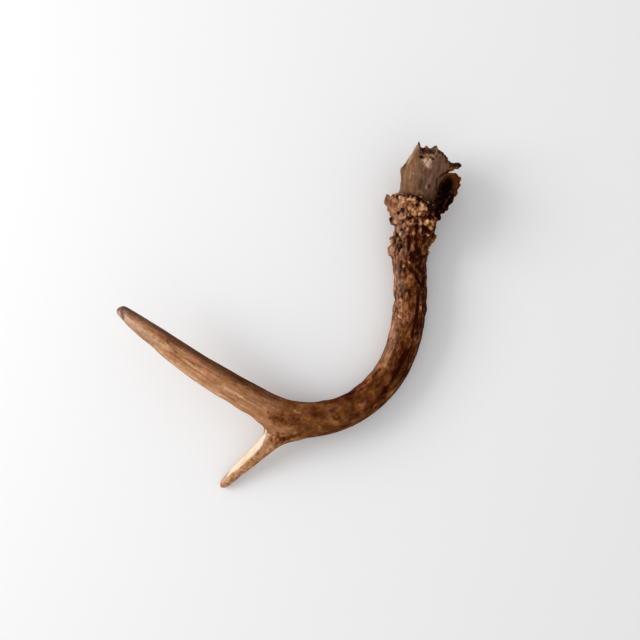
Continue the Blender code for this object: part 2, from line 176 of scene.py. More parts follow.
# Knobs of the beam: x and y in the photograph, half width and height in mm, and how many
# times longer than wide they are.
KNOBS = (
    (391.8, 249.5, 3.6, 0.7, 1.8), (400.3, 233.8, 1.4, 0.9, 1.6), (413.4, 232.5, 1.3, 0.5, 2.4),
    (420.6, 230, 1.2, 0.4, 2.4), (406.3, 251, 1.6, 0.6, 2.6), (412.8, 247.5, 1.6, 0.5, 2),
    (403.8, 260.5, 2, 0.4, 1.5), (408.8, 262.2, 1.2, 0.4, 1.4), (403.8, 265.8, 1.2, 0.3, 1.4),
    (407, 270, 1.2, 0.5, 2.4), (394.6, 262, 1.8, 0.6, 4), (394.4, 280, 1.6, 0.4, 4),
    (428.3, 252.5, 1.9, 0.8, 1.2), (421.2, 277.5, 1.9, 0.5, 1.5), (427, 275, 2, 0.5, 1.5),
    (411, 275, 2.2, 0.3, 1.6), (409.5, 284, 2.4, 0.3, 1.8), (399, 316.2, 1.4, 0.5, 1),
    (397, 304, 1.8, 0.4, 1.2), (400.5, 299.5, 1.6, 0.4, 1.2), (394, 290, 2.2, 0.5, 1.2),
    (426.5, 308, 2.2, 0.4, 1.8), (403.5, 226, 2.2, 0.6, 1.8), (398.5, 226, 1.5, 0.6, 2.2),
    (420.5, 243, 2, 0.6, 2.6), (424, 262, 1.8, 0.4, 3), (420.8, 308, 1.3, 0.5, 5),
    (412, 302, 2, 0.4, 2), (408, 229, 1.7, 0.7, 1.6), (406, 240, 1.8, 0.4, 1.2),
)
# Hollows of the burr and the beam: x and y in the photograph, radius and depth in mm.
PITS = (
    (402.8, 210, 2.3, 1.4), (398.6, 213.3, 1.8, 1), (394.5, 214.3, 1.2, 0.6),
    (410.3, 217.2, 3.3, 2.1), (403.2, 220.3, 1.6, 1.1), (408.7, 196.8, 1.2, 1),
    (417.2, 226.5, 2.1, 1.5), (431.5, 217.2, 2.4, 1.5), (397.4, 235, 1.9, 1.4),
    (402, 229.7, 1.5, 0.9), (401, 246.5, 2.8, 1.6), (400.5, 241, 2, 0.9), (410, 255, 1.9, 0.9),
    (414.4, 258.5, 2.1, 0.9), (418.4, 251.5, 1.8, 0.8), (404.4, 269.5, 1.4, 0.9),
    (411, 269.8, 1.6, 0.7), (417, 276, 1.9, 1.1), (402, 296.5, 1.4, 0.5), (410, 292.5, 1.5, 0.5),
    (406, 290, 1.5, 0.5), (401, 323.5, 1.6, 0.5), (407, 323, 1.4, 0.4), (391.5, 337.5, 1.4, 0.4),
    (380, 369.5, 1.4, 0.4), (373, 377, 1.5, 0.4), (364.5, 383, 1.2, 0.3), (358, 402.5, 1.2, 0.3),
    (268.5, 413, 1, 0.3), (337, 419, 1.6, 0.3), (425.5, 228.5, 2, 1.3), (429.5, 231.5, 1.7, 1),
    (420, 256.5, 1.3, 0.6), (423.6, 268, 1.4, 0.6), (407.5, 236, 1.8, 0.9), (412.5, 196.8, 1.2, 1),
    (419.5, 199.6, 1.4, 1.2), (397.5, 195.6, 1, 0.8), (404.6, 196, 0.9, 0.8), (390.5, 195, 1, 0.6),
)
# Grooves: half width and depth in mm, then x, y, x, y and so on along the line.
GROOVES = (
    (1.4, 0.7, 417, 225, 418, 230, 415.8, 236, 416.6, 243),
    (1.2, 0.5, 410, 230, 408.4, 237, 410.4, 244, 409, 251),
    (1.2, 0.4, 424, 227, 422.6, 232, 424, 238), (1.6, 0.8, 401, 240, 400, 247, 398, 254, 398, 262),
    (1.4, 0.5, 404, 242, 403.5, 251, 405, 258),
    (1.2, 0.7, 416.5, 275, 417, 279, 419, 282.5, 423.5, 287),
    (0.9, 0.4, 394, 291, 396, 293, 398, 296),
    (1, 0.4, 397.5, 314, 399, 312, 401.5, 313, 403, 316.5),
    (1.3, 0.7, 418.5, 296, 418, 304, 417, 312, 415.5, 322, 413, 331, 411.5, 338),
    (1.2, 0.35, 423.5, 292, 423.5, 302, 422.5, 312, 421.5, 322, 418, 334, 415, 345),
    (1.6, 0.35, 409, 346, 404, 356, 399, 366, 394, 376, 388, 386, 381, 395),
)
# The dish between the stub of bone and the burr's raised side: place, radius and depth in mm.
DISH = (
    (447, 186, 7.5, 3.4), (443, 196, 6.5, 3.2), (451, 182, 5.5, 2.4), (439.5, 205, 4.5, 2.2),
)
# Notches in the burr's crest: place, radius and depth in mm.
NOTCHES = (
    (392.6, 195.6, 2, 1.5), (399.8, 195.2, 1.8, 1.4), (409.6, 196.6, 1.9, 1.6),
    (416.6, 197.6, 3, 2.6), (424, 202, 1.7, 1.2), (431, 207, 2.6, 2.2),
)
# Where the burr is plain between its pearls: x, y and radius in the photograph's pixels.
CALM = (
    (386, 201, 11), (391, 213, 9), (392, 227, 8), (398, 217, 6), (449, 184, 11), (457, 184, 7),
    (446, 195, 9), (440, 205, 7),
)
# Where the burr's raised side begins, from the left and from below, in the same pixels.
RAISED_ACROSS = (441.0, 449.0)
RAISED_DOWN = (224.0, 208.0)
BURR_END = 30                           # where the burr ends along the main line, in mm
# The burr's face towards the bone, which grows no seeded pearls: how far it looks along the
# burr's axis, and its reach from that axis in mm.
INNER_FACE = (0.35, 26)
UPPER_FACE = 0.3                        # faces that look up this far have placed pearls only
# Colours that the antler has taken, with painted shade and painted highlights among them:
# radius in mm and strength, then x, y, x, y and so on along the line in the photograph.
STAINS = {
    "gold": (
        (3.6, 0.9, 421, 238, 421, 246, 423, 256, 422, 262, 420, 272),
        (3, 0.8, 409, 280, 412, 292, 412, 302, 410, 310), (2.6, 0.6, 365, 394, 362, 396),
        (2, 0.4, 126, 313.5, 138, 321, 150, 329.5, 162, 338),
        (2.6, 0.5, 372, 408, 362, 415, 352, 420, 342, 424),
        (3, 0.6, 385, 362, 380, 372, 374, 388, 366, 398), (2.2, 0.8, 413, 266, 415, 272),
        (2, 0.8, 404, 281, 405, 284), (2.6, 0.8, 392, 201, 395, 202, 399, 204),
        (4, 0.6, 407, 294, 408, 308, 406, 322, 402, 338), (4.5, 0.8, 358, 404, 349, 410, 340, 412),
        (3.6, 0.5, 425, 292, 424, 310, 421, 330),
    ),
    "salmon": (
        (3.6, 0.7, 390, 203, 392, 208, 396, 210), (3, 0.5, 397, 214, 398, 222, 400, 226),
        (2.4, 0.4, 402, 222, 405, 228, 407, 230), (2.2, 0.7, 402.5, 260.5, 405, 260.5),
        (2.2, 0.4, 410, 275, 412, 276), (2.4, 0.5, 409, 282, 411, 284),
        (1.8, 0.4, 413.5, 229, 414, 236), (1.8, 0.5, 412.5, 245, 413, 250),
        (2, 0.5, 405.5, 247, 406.5, 257), (3, 0.4, 391.5, 246, 391.5, 252),
        (2.4, 0.5, 394.2, 255, 394.5, 266), (2.4, 0.5, 394.2, 270, 394.5, 288),
        (3.2, 0.5, 397, 300, 395, 312, 395, 324, 393, 336, 390, 348, 386, 358),
        (2.6, 0.6, 376, 369, 371, 375), (2.4, 0.3, 402, 381, 396, 388, 388, 396),
        (2.2, 0.8, 190, 358, 194, 360.5, 197, 362), (2.2, 0.8, 205, 372, 209, 375.5, 212, 378),
        (2.2, 0.4, 204, 386, 214, 392, 222, 397), (2.4, 0.3, 165, 353, 172, 359),
        (1.4, 0.9, 247, 461.5, 249.5, 463), (2.4, 0.9, 221.5, 485, 223, 483.5),
    ),
    "rust": (
        (2.8, 1, 441, 179.5, 446, 176, 451, 174, 456, 174.5, 458.5, 178),
        (3.8, 1, 452.5, 176, 455, 179, 455.5, 184, 455, 189, 454.5, 192),
        (1.6, 0.9, 451, 191, 450.8, 192.5), (1.7, 1, 166.8, 340.5, 168.6, 342.6),
        (1.8, 0.5, 158, 333, 163, 337),
    ),
    # Dark red that is partly painted shade: in the burr's dish, in the crevices along its crest and
    # between its pearls.
    "wine_and_shade": (
        (6.5, 1, 448, 182, 446, 188, 444, 195),
        (5, 1, 451, 184, 450, 192, 445, 200, 441, 207, 437, 215),
        (3.5, 1, 442, 179, 440, 190, 438, 200), (3.4, 0.8, 455, 190, 452, 198, 448, 205, 443, 212),
        (3, 0.6, 456, 178, 457, 184), (1.8, 0.8, 390.2, 217, 391, 223),
        (2.2, 0.8, 413, 195.2, 417, 196.5, 421, 199, 426, 203, 431, 208),
        (2.4, 0.8, 431, 210, 434, 213, 436.5, 217), (1.2, 0.7, 400, 195, 404, 195.6, 409, 197),
        (1.4, 0.8, 457.5, 174.5, 460, 178, 459.6, 182, 459.2, 186, 457, 191),
        (1.7, 0.8, 393.5, 197, 398.5, 197.4), (1.2, 0.6, 416, 199, 416.6, 206),
        (0.9, 0.5, 405.5, 198, 405.8, 204),
    ),
    "cream": (
        (1, 0.35, 254, 417.5, 259, 421, 264, 426, 266.4, 431),
        (1.6, 0.8, 266, 430, 265, 436, 263, 440),
        (2.4, 1, 264, 436, 260, 440, 254.5, 446, 249, 452, 244.5, 456.5),
        (3, 1, 261.5, 442, 257, 447, 252, 452, 247, 457),
        (2.4, 1, 244.5, 456.5, 239.5, 461.5, 235, 466, 231, 470),
        (2.6, 1, 247, 457, 242, 462, 237, 466.5, 233, 470),
        (1.8, 0.9, 233, 470, 229, 473.5, 227, 476),
    ),
    # Grey at the long point's tip, and painted glints on the pearls in the burr's dish.
    "ash_and_glints": (
        (2.4, 0.9, 118.2, 310, 120, 308, 122.5, 307.6),
        (2.6, 0.8, 121.6, 312, 122.6, 316.5, 122.6, 319.5), (2, 0.4, 136, 329, 139, 333),
        (1.8, 0.4, 146, 334.5, 150, 338), (0.8, 0.9, 443.2, 198.2, 443.5, 198.7),
        (0.9, 0.9, 446, 200, 446.3, 200.5), (0.9, 0.9, 447.8, 203.6, 448, 204.2),
        (0.8, 0.9, 444, 203.8, 444.3, 204.2), (0.8, 0.8, 449.6, 196.4, 450, 197),
    ),
    "grey": (
        (2.6, 0.6, 399.5, 262, 400, 272, 401.5, 282, 404, 292), (2.4, 0.6, 404, 246, 404, 256),
        (2.4, 0.8, 391, 238.5, 391, 240), (2.4, 0.5, 389, 247, 390.5, 253),
        (2.4, 0.7, 387, 195.5, 386.5, 200), (1.6, 0.5, 416, 201, 416.5, 206),
        (2, 0.8, 417, 222, 419, 224), (3.4, 0.6, 126, 322, 136, 330, 148, 339, 160, 347),
        (3, 0.5, 397, 216, 399, 226, 404, 234), (2, 0.5, 408, 246, 409, 247),
    ),
    # Dark grime, and painted shade in the crevices along the burr's crest, in its dish and on its
    # raised side, and along the lower edge by the fork.
    "dirt_and_shade": (
        (3, 0.6, 406, 352, 404, 355, 402, 360, 399, 368, 395, 376, 390, 384, 385, 391, 378, 399),
        (4.4, 0.4, 405, 351, 403, 357, 400, 364, 396, 372, 391, 381, 386, 388),
        (2.4, 0.6, 378, 399, 371, 407, 365, 411), (2.8, 0.5, 337, 414, 340, 420, 334, 418),
        (1.6, 0.7, 380, 369, 373, 377), (3, 1, 401, 241, 401, 245, 399.5, 249),
        (3, 0.8, 406, 239, 408.5, 242), (3, 0.8, 410, 254, 413, 256, 415, 261),
        (2.8, 0.9, 418, 249, 418, 254), (1.7, 0.8, 416.5, 274, 417, 279, 419, 283, 423, 286.5),
        (1.4, 0.8, 418, 297, 417, 312, 415, 325, 412, 337), (2.2, 0.5, 401.5, 262, 400.5, 276),
        (2.2, 0.4, 388, 248, 390, 252), (1, 0.55, 170, 352, 176, 357, 185, 363, 196, 371),
        (1, 0.45, 196, 371, 212, 382, 225, 395, 236, 402),
        (0.9, 0.5, 152, 341.5, 157, 345, 161, 347.4), (0.9, 0.4, 141, 331, 147, 335.4, 153, 339),
        (1.1, 0.5, 186, 358, 193, 363, 201, 367.5), (0.9, 0.4, 192, 373, 200, 379, 206, 383.5),
        (1.1, 0.4, 162.3, 346.3, 163.6, 347.4), (1.2, 0.6, 268, 412, 269, 413.6),
        (3.4, 0.6, 281, 439.5, 290, 437, 300, 435), (1.5, 0.35, 236, 378, 246, 384, 257, 391),
        (8, 0.42, 300, 420, 288, 423, 276, 416),
        (2.2, 0.5, 127, 310, 140, 317.5, 156, 327.5, 172, 337), (1.8, 0.6, 411, 268, 411, 272),
        (3.6, 0.55, 352, 393, 335, 397, 318, 401, 302, 402), (3.6, 0.4, 352, 406, 346, 411),
        (5, 1, 441, 204, 443, 212, 438, 220, 436, 228),
        (7, 1, 447, 181, 446, 190, 443, 198, 439, 208, 434, 215),
        (5.5, 1, 453, 190, 450, 198, 446, 206), (1.8, 0.8, 424, 228, 426, 231, 431, 233, 434, 239),
        (2.4, 0.8, 402.5, 208.5, 403, 211), (1.8, 0.7, 398, 213, 399.5, 213.5),
        (3.2, 1, 408, 217, 411, 217), (2.4, 0.9, 429, 217, 433, 217),
        (2.6, 1, 389.8, 216.5, 390.8, 220, 391.6, 224), (2.2, 0.8, 394, 194, 398, 196),
        (2.4, 0.5, 385.5, 195, 387.5, 196.5), (2.6, 0.9, 393.5, 193, 398.5, 195, 397, 198.5),
        (2, 0.6, 393, 235, 394, 243), (1.8, 0.9, 397.4, 234, 397.4, 236),
        (1.8, 0.8, 403, 221, 401, 230), (1.8, 0.8, 416.6, 205, 415.5, 208),
        (2.2, 0.7, 416, 226, 416, 231), (3, 0.3, 403, 236, 407, 247, 410, 260),
        (2.3, 0.9, 403, 195, 409, 196, 415, 196.8, 419, 199, 424, 202, 429, 207.5, 433, 214),
        (3.2, 0.9, 385.5, 196, 386, 204), (2.4, 0.9, 386, 195, 394, 195),
        (3.4, 0.4, 405, 222, 406, 228), (2.6, 0.6, 408.6, 246, 410, 252),
        (1.7, 0.9, 456, 173.6, 458.2, 177.5, 458.4, 182, 457.4, 188, 455.6, 192),
        (3, 0.55, 402, 284, 403, 292, 402, 298), (2.4, 0.5, 407, 288, 409, 293),
        (2.2, 1, 118.2, 312, 118.6, 309.6, 120, 308, 122.5, 307.6, 128, 309),
        (2.4, 0.3, 121.8, 313, 122.6, 316.5, 123, 319.5), (2, 0.5, 220.5, 486, 222, 485),
    ),
    # Pale wear, and painted highlights and glints on the burr's pearls, on knobs of the beam and
    # along the long point's tip.
    "pale": (
        (1.7, 0.5, 422, 204, 425, 204.5, 427, 207), (1.9, 0.6, 418.5, 214, 421, 214, 424, 212.8),
        (1.5, 0.4, 421.5, 208, 424, 209), (1.6, 1, 427, 222.5, 429, 222.3),
        (1.6, 0.8, 432, 222, 434, 221.5), (1.7, 0.9, 430.5, 227, 431, 229.5),
        (1.3, 0.9, 427.2, 234.2, 428.5, 235), (1.2, 1, 405, 217, 405.2, 218),
        (1.5, 1, 400.2, 232, 400.5, 235.5), (1.2, 0.9, 408.5, 261.8, 410.3, 263.2),
        (1.2, 0.8, 403.8, 265.3, 403.8, 266.3), (1.3, 1, 398.5, 315.5, 399.5, 317),
        (2.2, 0.5, 396, 303, 400, 299, 401, 306), (1.6, 0.7, 407.5, 199, 409, 200.5),
        (1.4, 0.5, 403.5, 200, 403.5, 203), (1.1, 0.7, 435, 217.5, 435.3, 218.3),
        (1.4, 1, 119, 312, 119.8, 314), (1.4, 1, 125, 315.8, 125.6, 318.6),
        (3.4, 0.75, 127, 320, 133, 325, 138, 329.5), (3, 0.55, 138, 329.5, 150, 339, 162, 347),
        (1.2, 0.6, 152, 339.5, 158, 343.5, 164, 346), (1.1, 0.4, 188, 364, 198, 370, 206, 375),
        (2, 0.3, 236, 393, 242, 397.5), (3.8, 0.35, 401, 202, 408, 202, 414, 203),
        (3.8, 0.35, 415, 212, 420, 209, 426, 207), (3, 0.55, 422, 222, 428, 222, 434, 221),
        (3, 0.15, 404, 377, 397, 387, 388, 396, 376, 405, 364, 411),
        (4, 0.3, 394, 308, 394, 322, 391, 336), (2.6, 0.4, 372, 378, 366, 384, 358, 389),
        (3, 0.3, 396, 224, 400, 232, 404, 236), (2.6, 0.35, 396.5, 222, 397.5, 229),
        (2.6, 0.3, 395, 262, 395, 290), (3, 0.4, 420, 231, 421, 240), (3, 0.5, 421, 293, 421, 307),
        (0.9, 0.9, 443.2, 198.2, 443.5, 198.7), (0.9, 0.9, 446, 200, 446.3, 200.5),
        (0.9, 0.8, 447.8, 203.6, 448, 204.2), (0.8, 0.8, 444, 203.8, 444.3, 204.2),
        (0.8, 0.8, 440.6, 200.2, 440.8, 200.8), (0.9, 0.9, 449.6, 196.4, 450, 197),
        (1, 0.8, 456.4, 181, 457.2, 184, 456.8, 187), (1.1, 0.7, 450, 191.4, 453, 192.2),
        (1.3, 0.3, 419, 213, 423, 212.4), (3, 0.2, 262, 419, 267, 424),
        (1.8, 0.5, 294, 411, 300, 413), (1.8, 0.5, 176, 366, 186, 373, 196, 379),
    ),
}
# The same for the stub of bone.
BONE_STAINS = {
    "mauve": (
        (4.5, 0.6, 421, 168, 422, 180, 424, 190), (3.6, 0.8, 432, 166, 433, 180, 433, 192),
        (4, 0.9, 433, 150, 437, 156, 438, 166, 436, 178),
    ),
    "warm": (
        (4, 0.6, 414, 150, 408, 162, 405, 175, 404, 190), (3, 0.5, 411, 168, 411, 190),
        (4, 0.8, 418, 192, 424, 198, 430, 208), (2.4, 0.7, 423, 150, 427, 153, 431, 153),
    ),
    "gold": (
        (1.6, 1, 432.8, 192, 433.2, 208), (1.6, 0.7, 439.3, 184, 438.8, 202),
        (2.4, 1, 448, 168, 452.5, 168.2), (2.2, 0.5, 440.5, 179, 442, 177),
        (1.6, 0.5, 424, 153.5, 427, 155), (1.3, 0.4, 431, 154.5, 434, 157),
    ),
    # Dark grime in the broken end, and painted shade along the burr's crest, down the bone's right
    # side and under its splinters.
    "dirt_and_shade": (
        (3.6, 0.7, 422, 150, 425, 150.5, 429, 151.5, 432, 152.5),
        (1.6, 0.9, 420.5, 156.5, 423.5, 158), (1.2, 0.8, 430, 157, 433.5, 159.5),
        (3.4, 0.8, 442, 152.5, 445.5, 156, 446.5, 161),
        (1.6, 1, 436.6, 179, 436.4, 193, 435.8, 216), (2.4, 1, 440.5, 176, 445, 173.5, 451, 171.5),
        (2.8, 0.9, 403, 195.5, 411, 196, 418, 198.5, 425, 204, 431, 212),
        (3, 0.6, 427, 197, 431, 203, 434, 210), (3.4, 0.7, 419, 197, 425, 200, 431, 206),
        (2.6, 1, 451, 164, 455, 164.8, 460, 165.5), (1.5, 0.9, 418.9, 141.5, 420.4, 146),
        (1.4, 0.7, 429.4, 185, 429.6, 187.5), (2.6, 0.5, 421, 181, 420, 188),
        (3, 0.4, 424, 190, 429, 197),
    ),
    "pale": (
        (1.5, 0.9, 424.6, 160.2, 427, 162.4), (1.5, 1, 426.8, 164.4, 428.2, 166.4),
        (1.3, 0.7, 429.6, 159.6, 430.8, 162), (3.8, 0.55, 425, 160, 428, 166),
        (2.6, 0.5, 430, 158, 430, 168), (1.4, 0.35, 425.8, 186.5, 426.2, 188.2),
        (1.4, 0.35, 413.5, 173.3, 413.6, 174.6), (1.3, 0.35, 423.2, 169.5, 423.4, 171),
        (1.2, 0.7, 431.5, 155.3, 433, 156), (1.2, 0.5, 439.8, 154, 440.3, 155.2),
        (1, 0.7, 427, 154.8, 427.6, 155.4), (3.4, 0.5, 416.5, 146.5, 412.5, 154, 408, 162),
        (3, 0.2, 408, 162, 405.5, 170, 405, 180), (2, 0.3, 411, 165, 410, 178),
    ),
}
# Rounds of blur that soften a stain's rim.
SOFTENED = {"cream": 14}
# Hollows of the bone's broken end and sides: x and y, radius and depth in mm.
BONE_PITS = (
    (428, 151.5, 5, 0.9), (422.5, 150, 1.3, 0.9), (425, 149, 1, 0.8), (427.5, 150, 1.2, 0.9),
    (430, 151, 1, 0.8), (424, 152.5, 1.2, 0.9), (426.5, 153.5, 1, 0.7), (429, 153.8, 1.1, 0.8),
    (432.5, 152.5, 1.1, 0.8), (431.5, 155, 0.9, 0.6), (425.5, 155.8, 1, 0.8), (421, 153, 1.1, 0.8),
    (422, 157.3, 1.6, 0.9), (430.7, 157.5, 1, 0.8), (433.3, 159.2, 1.1, 0.7),
    (442.6, 153.2, 1.5, 0.8), (446, 159, 1.8, 0.7), (429.5, 186.3, 1.1, 0.5), (434.5, 155, 1, 0.5),
    (437, 157, 1.1, 0.4), (420.5, 150.3, 1, 0.6),
)


# ---------------------------------------------------------------- skins
def add_object(name, data):
    """An object in the scene that holds a mesh, a lamp or a camera."""
    holder = bpy.data.objects.new(name, data)
    bpy.context.scene.collection.objects.link(holder)
    return holder


def read_out(items, field, width=3, kind=np.float32):
    """One field of many items, as an array with a row for each item."""
    values = np.empty(len(items) * width, dtype=kind)
    items.foreach_get(field, values)
    return values.reshape(-1, width)


def tree_of(points):
    """A tree that finds the points near a place."""
    tree = KDTree(len(points))
    for k, point in enumerate(points.tolist()):
        tree.insert(point, k)
    tree.balance()
    return tree


def cad_shape(node, swell=0.0):
    """A CAD node as a bmesh with its corners joined, swollen outward by a little."""
    shape = bmesh.new()
    shape.from_mesh(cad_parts[node].data)
    bmesh.ops.remove_doubles(shape, verts=shape.verts, dist=JOIN)
    shape.normal_update()
    pushes = [vert.normal * swell for vert in shape.verts]
    for vert, push in zip(shape.verts, pushes):
        vert.co += push
    return shape


def one_skin(shapes, voxel):
    """One even skin round several overlapping shapes, as a mesh."""
    mesh = bpy.data.meshes.new("Shapes")
    joined = bmesh.new()
    for shape in shapes:
        shape.to_mesh(mesh)
        shape.free()
        joined.from_mesh(mesh)
    joined.to_mesh(mesh)
    joined.free()
    holder = add_object("Shapes", mesh)
    remesh = holder.modifiers.new("Skin", 'REMESH')
    remesh.mode = 'VOXEL'
    remesh.voxel_size = voxel
    bpy.context.view_layer.update()
    shown = holder.evaluated_get(bpy.context.evaluated_depsgraph_get())
    skin = bpy.data.meshes.new_from_object(shown)
    bpy.data.objects.remove(holder)
    return skin


class Skin:
    """A mesh's points and neighbours as arrays."""

    def __init__(self, mesh):
        self.mesh = mesh
        self.points = read_out(mesh.vertices, "co").astype(float)
        self.edges = read_out(mesh.edges, "vertices", 2, np.int32)
        count = np.bincount(self.edges.ravel(), minlength=len(self.points))
        self.neighbours = np.maximum(count, 1)

    def blur(self, values, rounds, share=0.5):
        """Values drawn towards their neighbours' mean, a share of the way each round."""
        start, end = self.edges.T
        flat = values.reshape(len(values), -1)
        share = np.broadcast_to(np.asarray(share, dtype=float), (len(values),))[:, None]
        for _ in range(rounds):
            mean = np.empty_like(flat)
            for k in range(flat.shape[1]):
                total = np.bincount(start, flat[end, k], len(flat))
                total += np.bincount(end, flat[start, k], len(flat))
                mean[:, k] = total / self.neighbours
            flat = flat + (mean - flat) * share
        return flat.reshape(values.shape)

    def relax(self, rounds, share=0.5):
        """Smooth the points without shrinking the shape: each pass inward has one outward."""
        for _ in range(rounds):
            self.points = self.blur(self.points, 1, share)
            self.points = self.blur(self.points, 1, np.asarray(share) * -REBOUND)

    def outward(self):
        """Outward directions at the points as they stand."""
        self.mesh.vertices.foreach_set("co", self.points.astype(np.float32).ravel())
        self.mesh.update()
        return read_out(self.mesh.vertex_normals, "vector").astype(float)

    def push(self, heights):
        """Move every point outward by its height."""
        self.points = self.points + self.outward() * heights[:, None]

    def store(self, name, values):
        """Keep a value for each point on the mesh, for its material to read."""
        kind = 'FLOAT_VECTOR' if values.ndim == 2 else 'FLOAT'
        field = 'vector' if values.ndim == 2 else 'value'
        layer = self.mesh.attributes.new(name, kind, 'POINT')
        layer.data.foreach_set(field, values.astype(np.float32).ravel())

    def face_tree(self):
        """A tree that finds where a line of sight meets the skin."""
        self.outward()
        shape = bmesh.new()
        shape.from_mesh(self.mesh)
        tree = BVHTree.FromBMesh(shape)
        shape.free()
        return tree


# ---------------------------------------------------------------- helpers on arrays
def ramp(values, low, high):
    """0 below low, 1 above high, and smooth between them; low may be above high."""
    t = np.clip((values - low) / (high - low), 0, 1)
    return t * t * (3 - 2 * t)


def along(values, stops):
    """Values looked up in (place, value) stops."""
    return np.interp(values, *np.transpose(stops))


def spaced(corners, step, margin=0.0):
    """Even steps along a line: their places, the points there and the line's length."""
    lengths = np.linalg.norm(np.diff(corners, axis=0), axis=1)
    reach = np.concatenate([[0], np.cumsum(lengths)])
    places = np.arange(0, reach[-1] + margin, step)
    return places, np.column_stack([np.interp(places, reach, k) for k in corners.T]), reach[-1]


def wander(points, size, seed):
    """Smooth noise from about -1 to 1, with lumps of a size, or of one size a direction."""
    spots = points / (np.asarray(size) * MM) + seed * NOISE_STEP
    return np.array([noise.noise(spot) for spot in spots.tolist()])


def valleys(points, size, seed):
    """Noise with soft valleys at -1 between broad crests at 1."""
    return 1 - 2 * np.exp(-(NARROWNESS * wander(points, size, seed)) ** 2)


# ---------------------------------------------------------------- places on the antler
class Guide:
    """A limb's centre line, which gives each point a place along it and offsets to its sides."""

    def __init__(self, line, spacing=1.0, rounds=12):
        self.places, self.line, _ = spaced(np.array(line) * MM, spacing * MM)
        for _ in range(rounds):
            ends = self.line[:-2] + self.line[2:]
            self.line[1:-1] = (ends + 2 * self.line[1:-1]) / 4
        ahead = np.gradient(self.line, axis=0)
        self.ahead = ahead / np.linalg.norm(ahead, axis=1)[:, None]
        inner = np.cross(self.ahead, (0, 0, 1))
        self.inner = inner / np.linalg.norm(inner, axis=1)[:, None]
        self.upper = np.cross(self.inner, self.ahead)
        self.tree = tree_of(self.line)

    def read(self, points):
        """Place along the line, offsets to its inner and upper sides, and distance from it."""
        nearest = np.array([self.tree.find(point)[1] for point in points.tolist()])
        offset = points - self.line[nearest]
        place = self.places[nearest] + np.sum(offset * self.ahead[nearest], axis=1)
        inner = np.sum(offset * self.inner[nearest], axis=1)
        upper = np.sum(offset * self.upper[nearest], axis=1)
        return np.column_stack([place, inner, upper]), np.linalg.norm(offset, axis=1)


MAIN = Guide(MAIN_LINE)
SIDE = Guide(SIDE_LINE)


def main_place(points):
    """Place along the beam and the long point, in mm from the middle of the burr."""
    return MAIN.read(points)[0][:, 0] / MM


def flow_of(points):
    """Coordinates that run along the limbs (m), and how far each point is on the side point."""
    main, from_main = MAIN.read(points)
    side, from_side = SIDE.read(points)
    share = ramp(from_main - from_side, *SIDE_BLEND)
    side[:, 0] += FORK_PLACE * MM
    return main + (side - main) * share[:, None], share


def from_burr_axis(points):
    """Distance from the burr's axis, in mm."""
    offset = points / MM - np.array(BURR_CENTRE)
    axis = np.array(BURR_AXIS)
    return np.linalg.norm(offset - (offset @ axis)[:, None] * axis, axis=1)


def seen(tree, pixel):
    """The place on a skin under a pixel of the photograph and the direction out of it."""
    across = (pixel[0] - HALF_PIXELS) * PIXEL_SPREAD
    up = (HALF_PIXELS - pixel[1]) * PIXEL_SPREAD
    eye = Vector((*CAMERA_PLACE, CAMERA_HEIGHT))
    place, out, _, _ = tree.ray_cast(eye, Vector((across, up, -1)).normalized())
    return place, out


def at_height(x, y, height):
    """The place that the photograph shows at a pixel, at a height above the floor in mm."""
    size = (CAMERA_HEIGHT - height * MM) * PIXEL_SPREAD
    return Vector((CAMERA_PLACE[0] + (x - HALF_PIXELS) * size,
                   CAMERA_PLACE[1] + (HALF_PIXELS - y) * size, height * MM))


def in_view(points):
    """Where points come in the photograph, in its pixels, and the metres that a pixel spans."""
    size = (CAMERA_HEIGHT - points[:, 2]) * PIXEL_SPREAD
    across = HALF_PIXELS + (points[:, 0] - CAMERA_PLACE[0]) / size
    down = HALF_PIXELS - (points[:, 1] - CAMERA_PLACE[1]) / size
    return np.column_stack([across, down]), size


def nudged(points):
    """Points of a skin drawn to the outline that the photograph has."""
    pixels, size = in_view(points)
    total = np.zeros(len(points))
    shift = np.zeros((len(points), 2))
    for x, y, right, down, radius in NUDGES:
        gap = np.sum((pixels - (x, y)) ** 2, axis=1) / radius ** 2
        share = np.clip(1 - gap, 0, 1) ** 2
        total += share
        shift += share[:, None] * (right, -down)
    moved = points.copy()
    moved[:, :2] += shift * (size / np.maximum(total, 1))[:, None]
    return moved


def traced(tree, pixels, step=0.8):
    """Places on a skin along a line x, y, x, y of pixels, with each one's share of the line."""
    places, line, length = spaced(np.reshape(pixels, (-1, 2)).astype(float), step, step / 2)
    found = [(seen(tree, pixel)[0], place / length) for pixel, place in zip(line, places)]
    return [(where, share) for where, share in found if where is not None]


class Marks:
    """Fields of marks on a skin, soft and with uneven rims."""

    def __init__(self, skin):
        self.faces = skin.face_tree()
        self.tree = tree_of(skin.points)
        self.count = len(skin.points)
        self.stretch = 1 + RIM_NOISE * wander(skin.points, 1.7, 21)

    def spread(self, field, centre, radius, height):
        """Raise a field to a soft bump's height near a place."""
        for _, k, gap in self.tree.find_range(centre, radius * RIM_REACH):
            level = 1 - (gap * self.stretch[k] / radius) ** 2
            if level > 0:
                field[k] = max(field[k], height * level * level)

    def spots(self, spots):
        """Spots at places of the photograph: x, y, radius in mm and height."""
        field = np.zeros(self.count)
        for x, y, radius, height in spots:
            centre, _ = seen(self.faces, (x, y))
            if centre is not None:
                self.spread(field, centre, radius * MM, height)
        return field

    def lines(self, lines, ends=1.0):
        """Lines of the photograph: radius in mm, height and pixels; lower at both ends."""
        field = np.zeros(self.count)
        for radius, height, *line in lines:
            for centre, share in traced(self.faces, line):
                level = height * min(1.0, ends + TAPER * min(share, 1 - share))
                self.spread(field, centre, radius * MM, level)
        return field


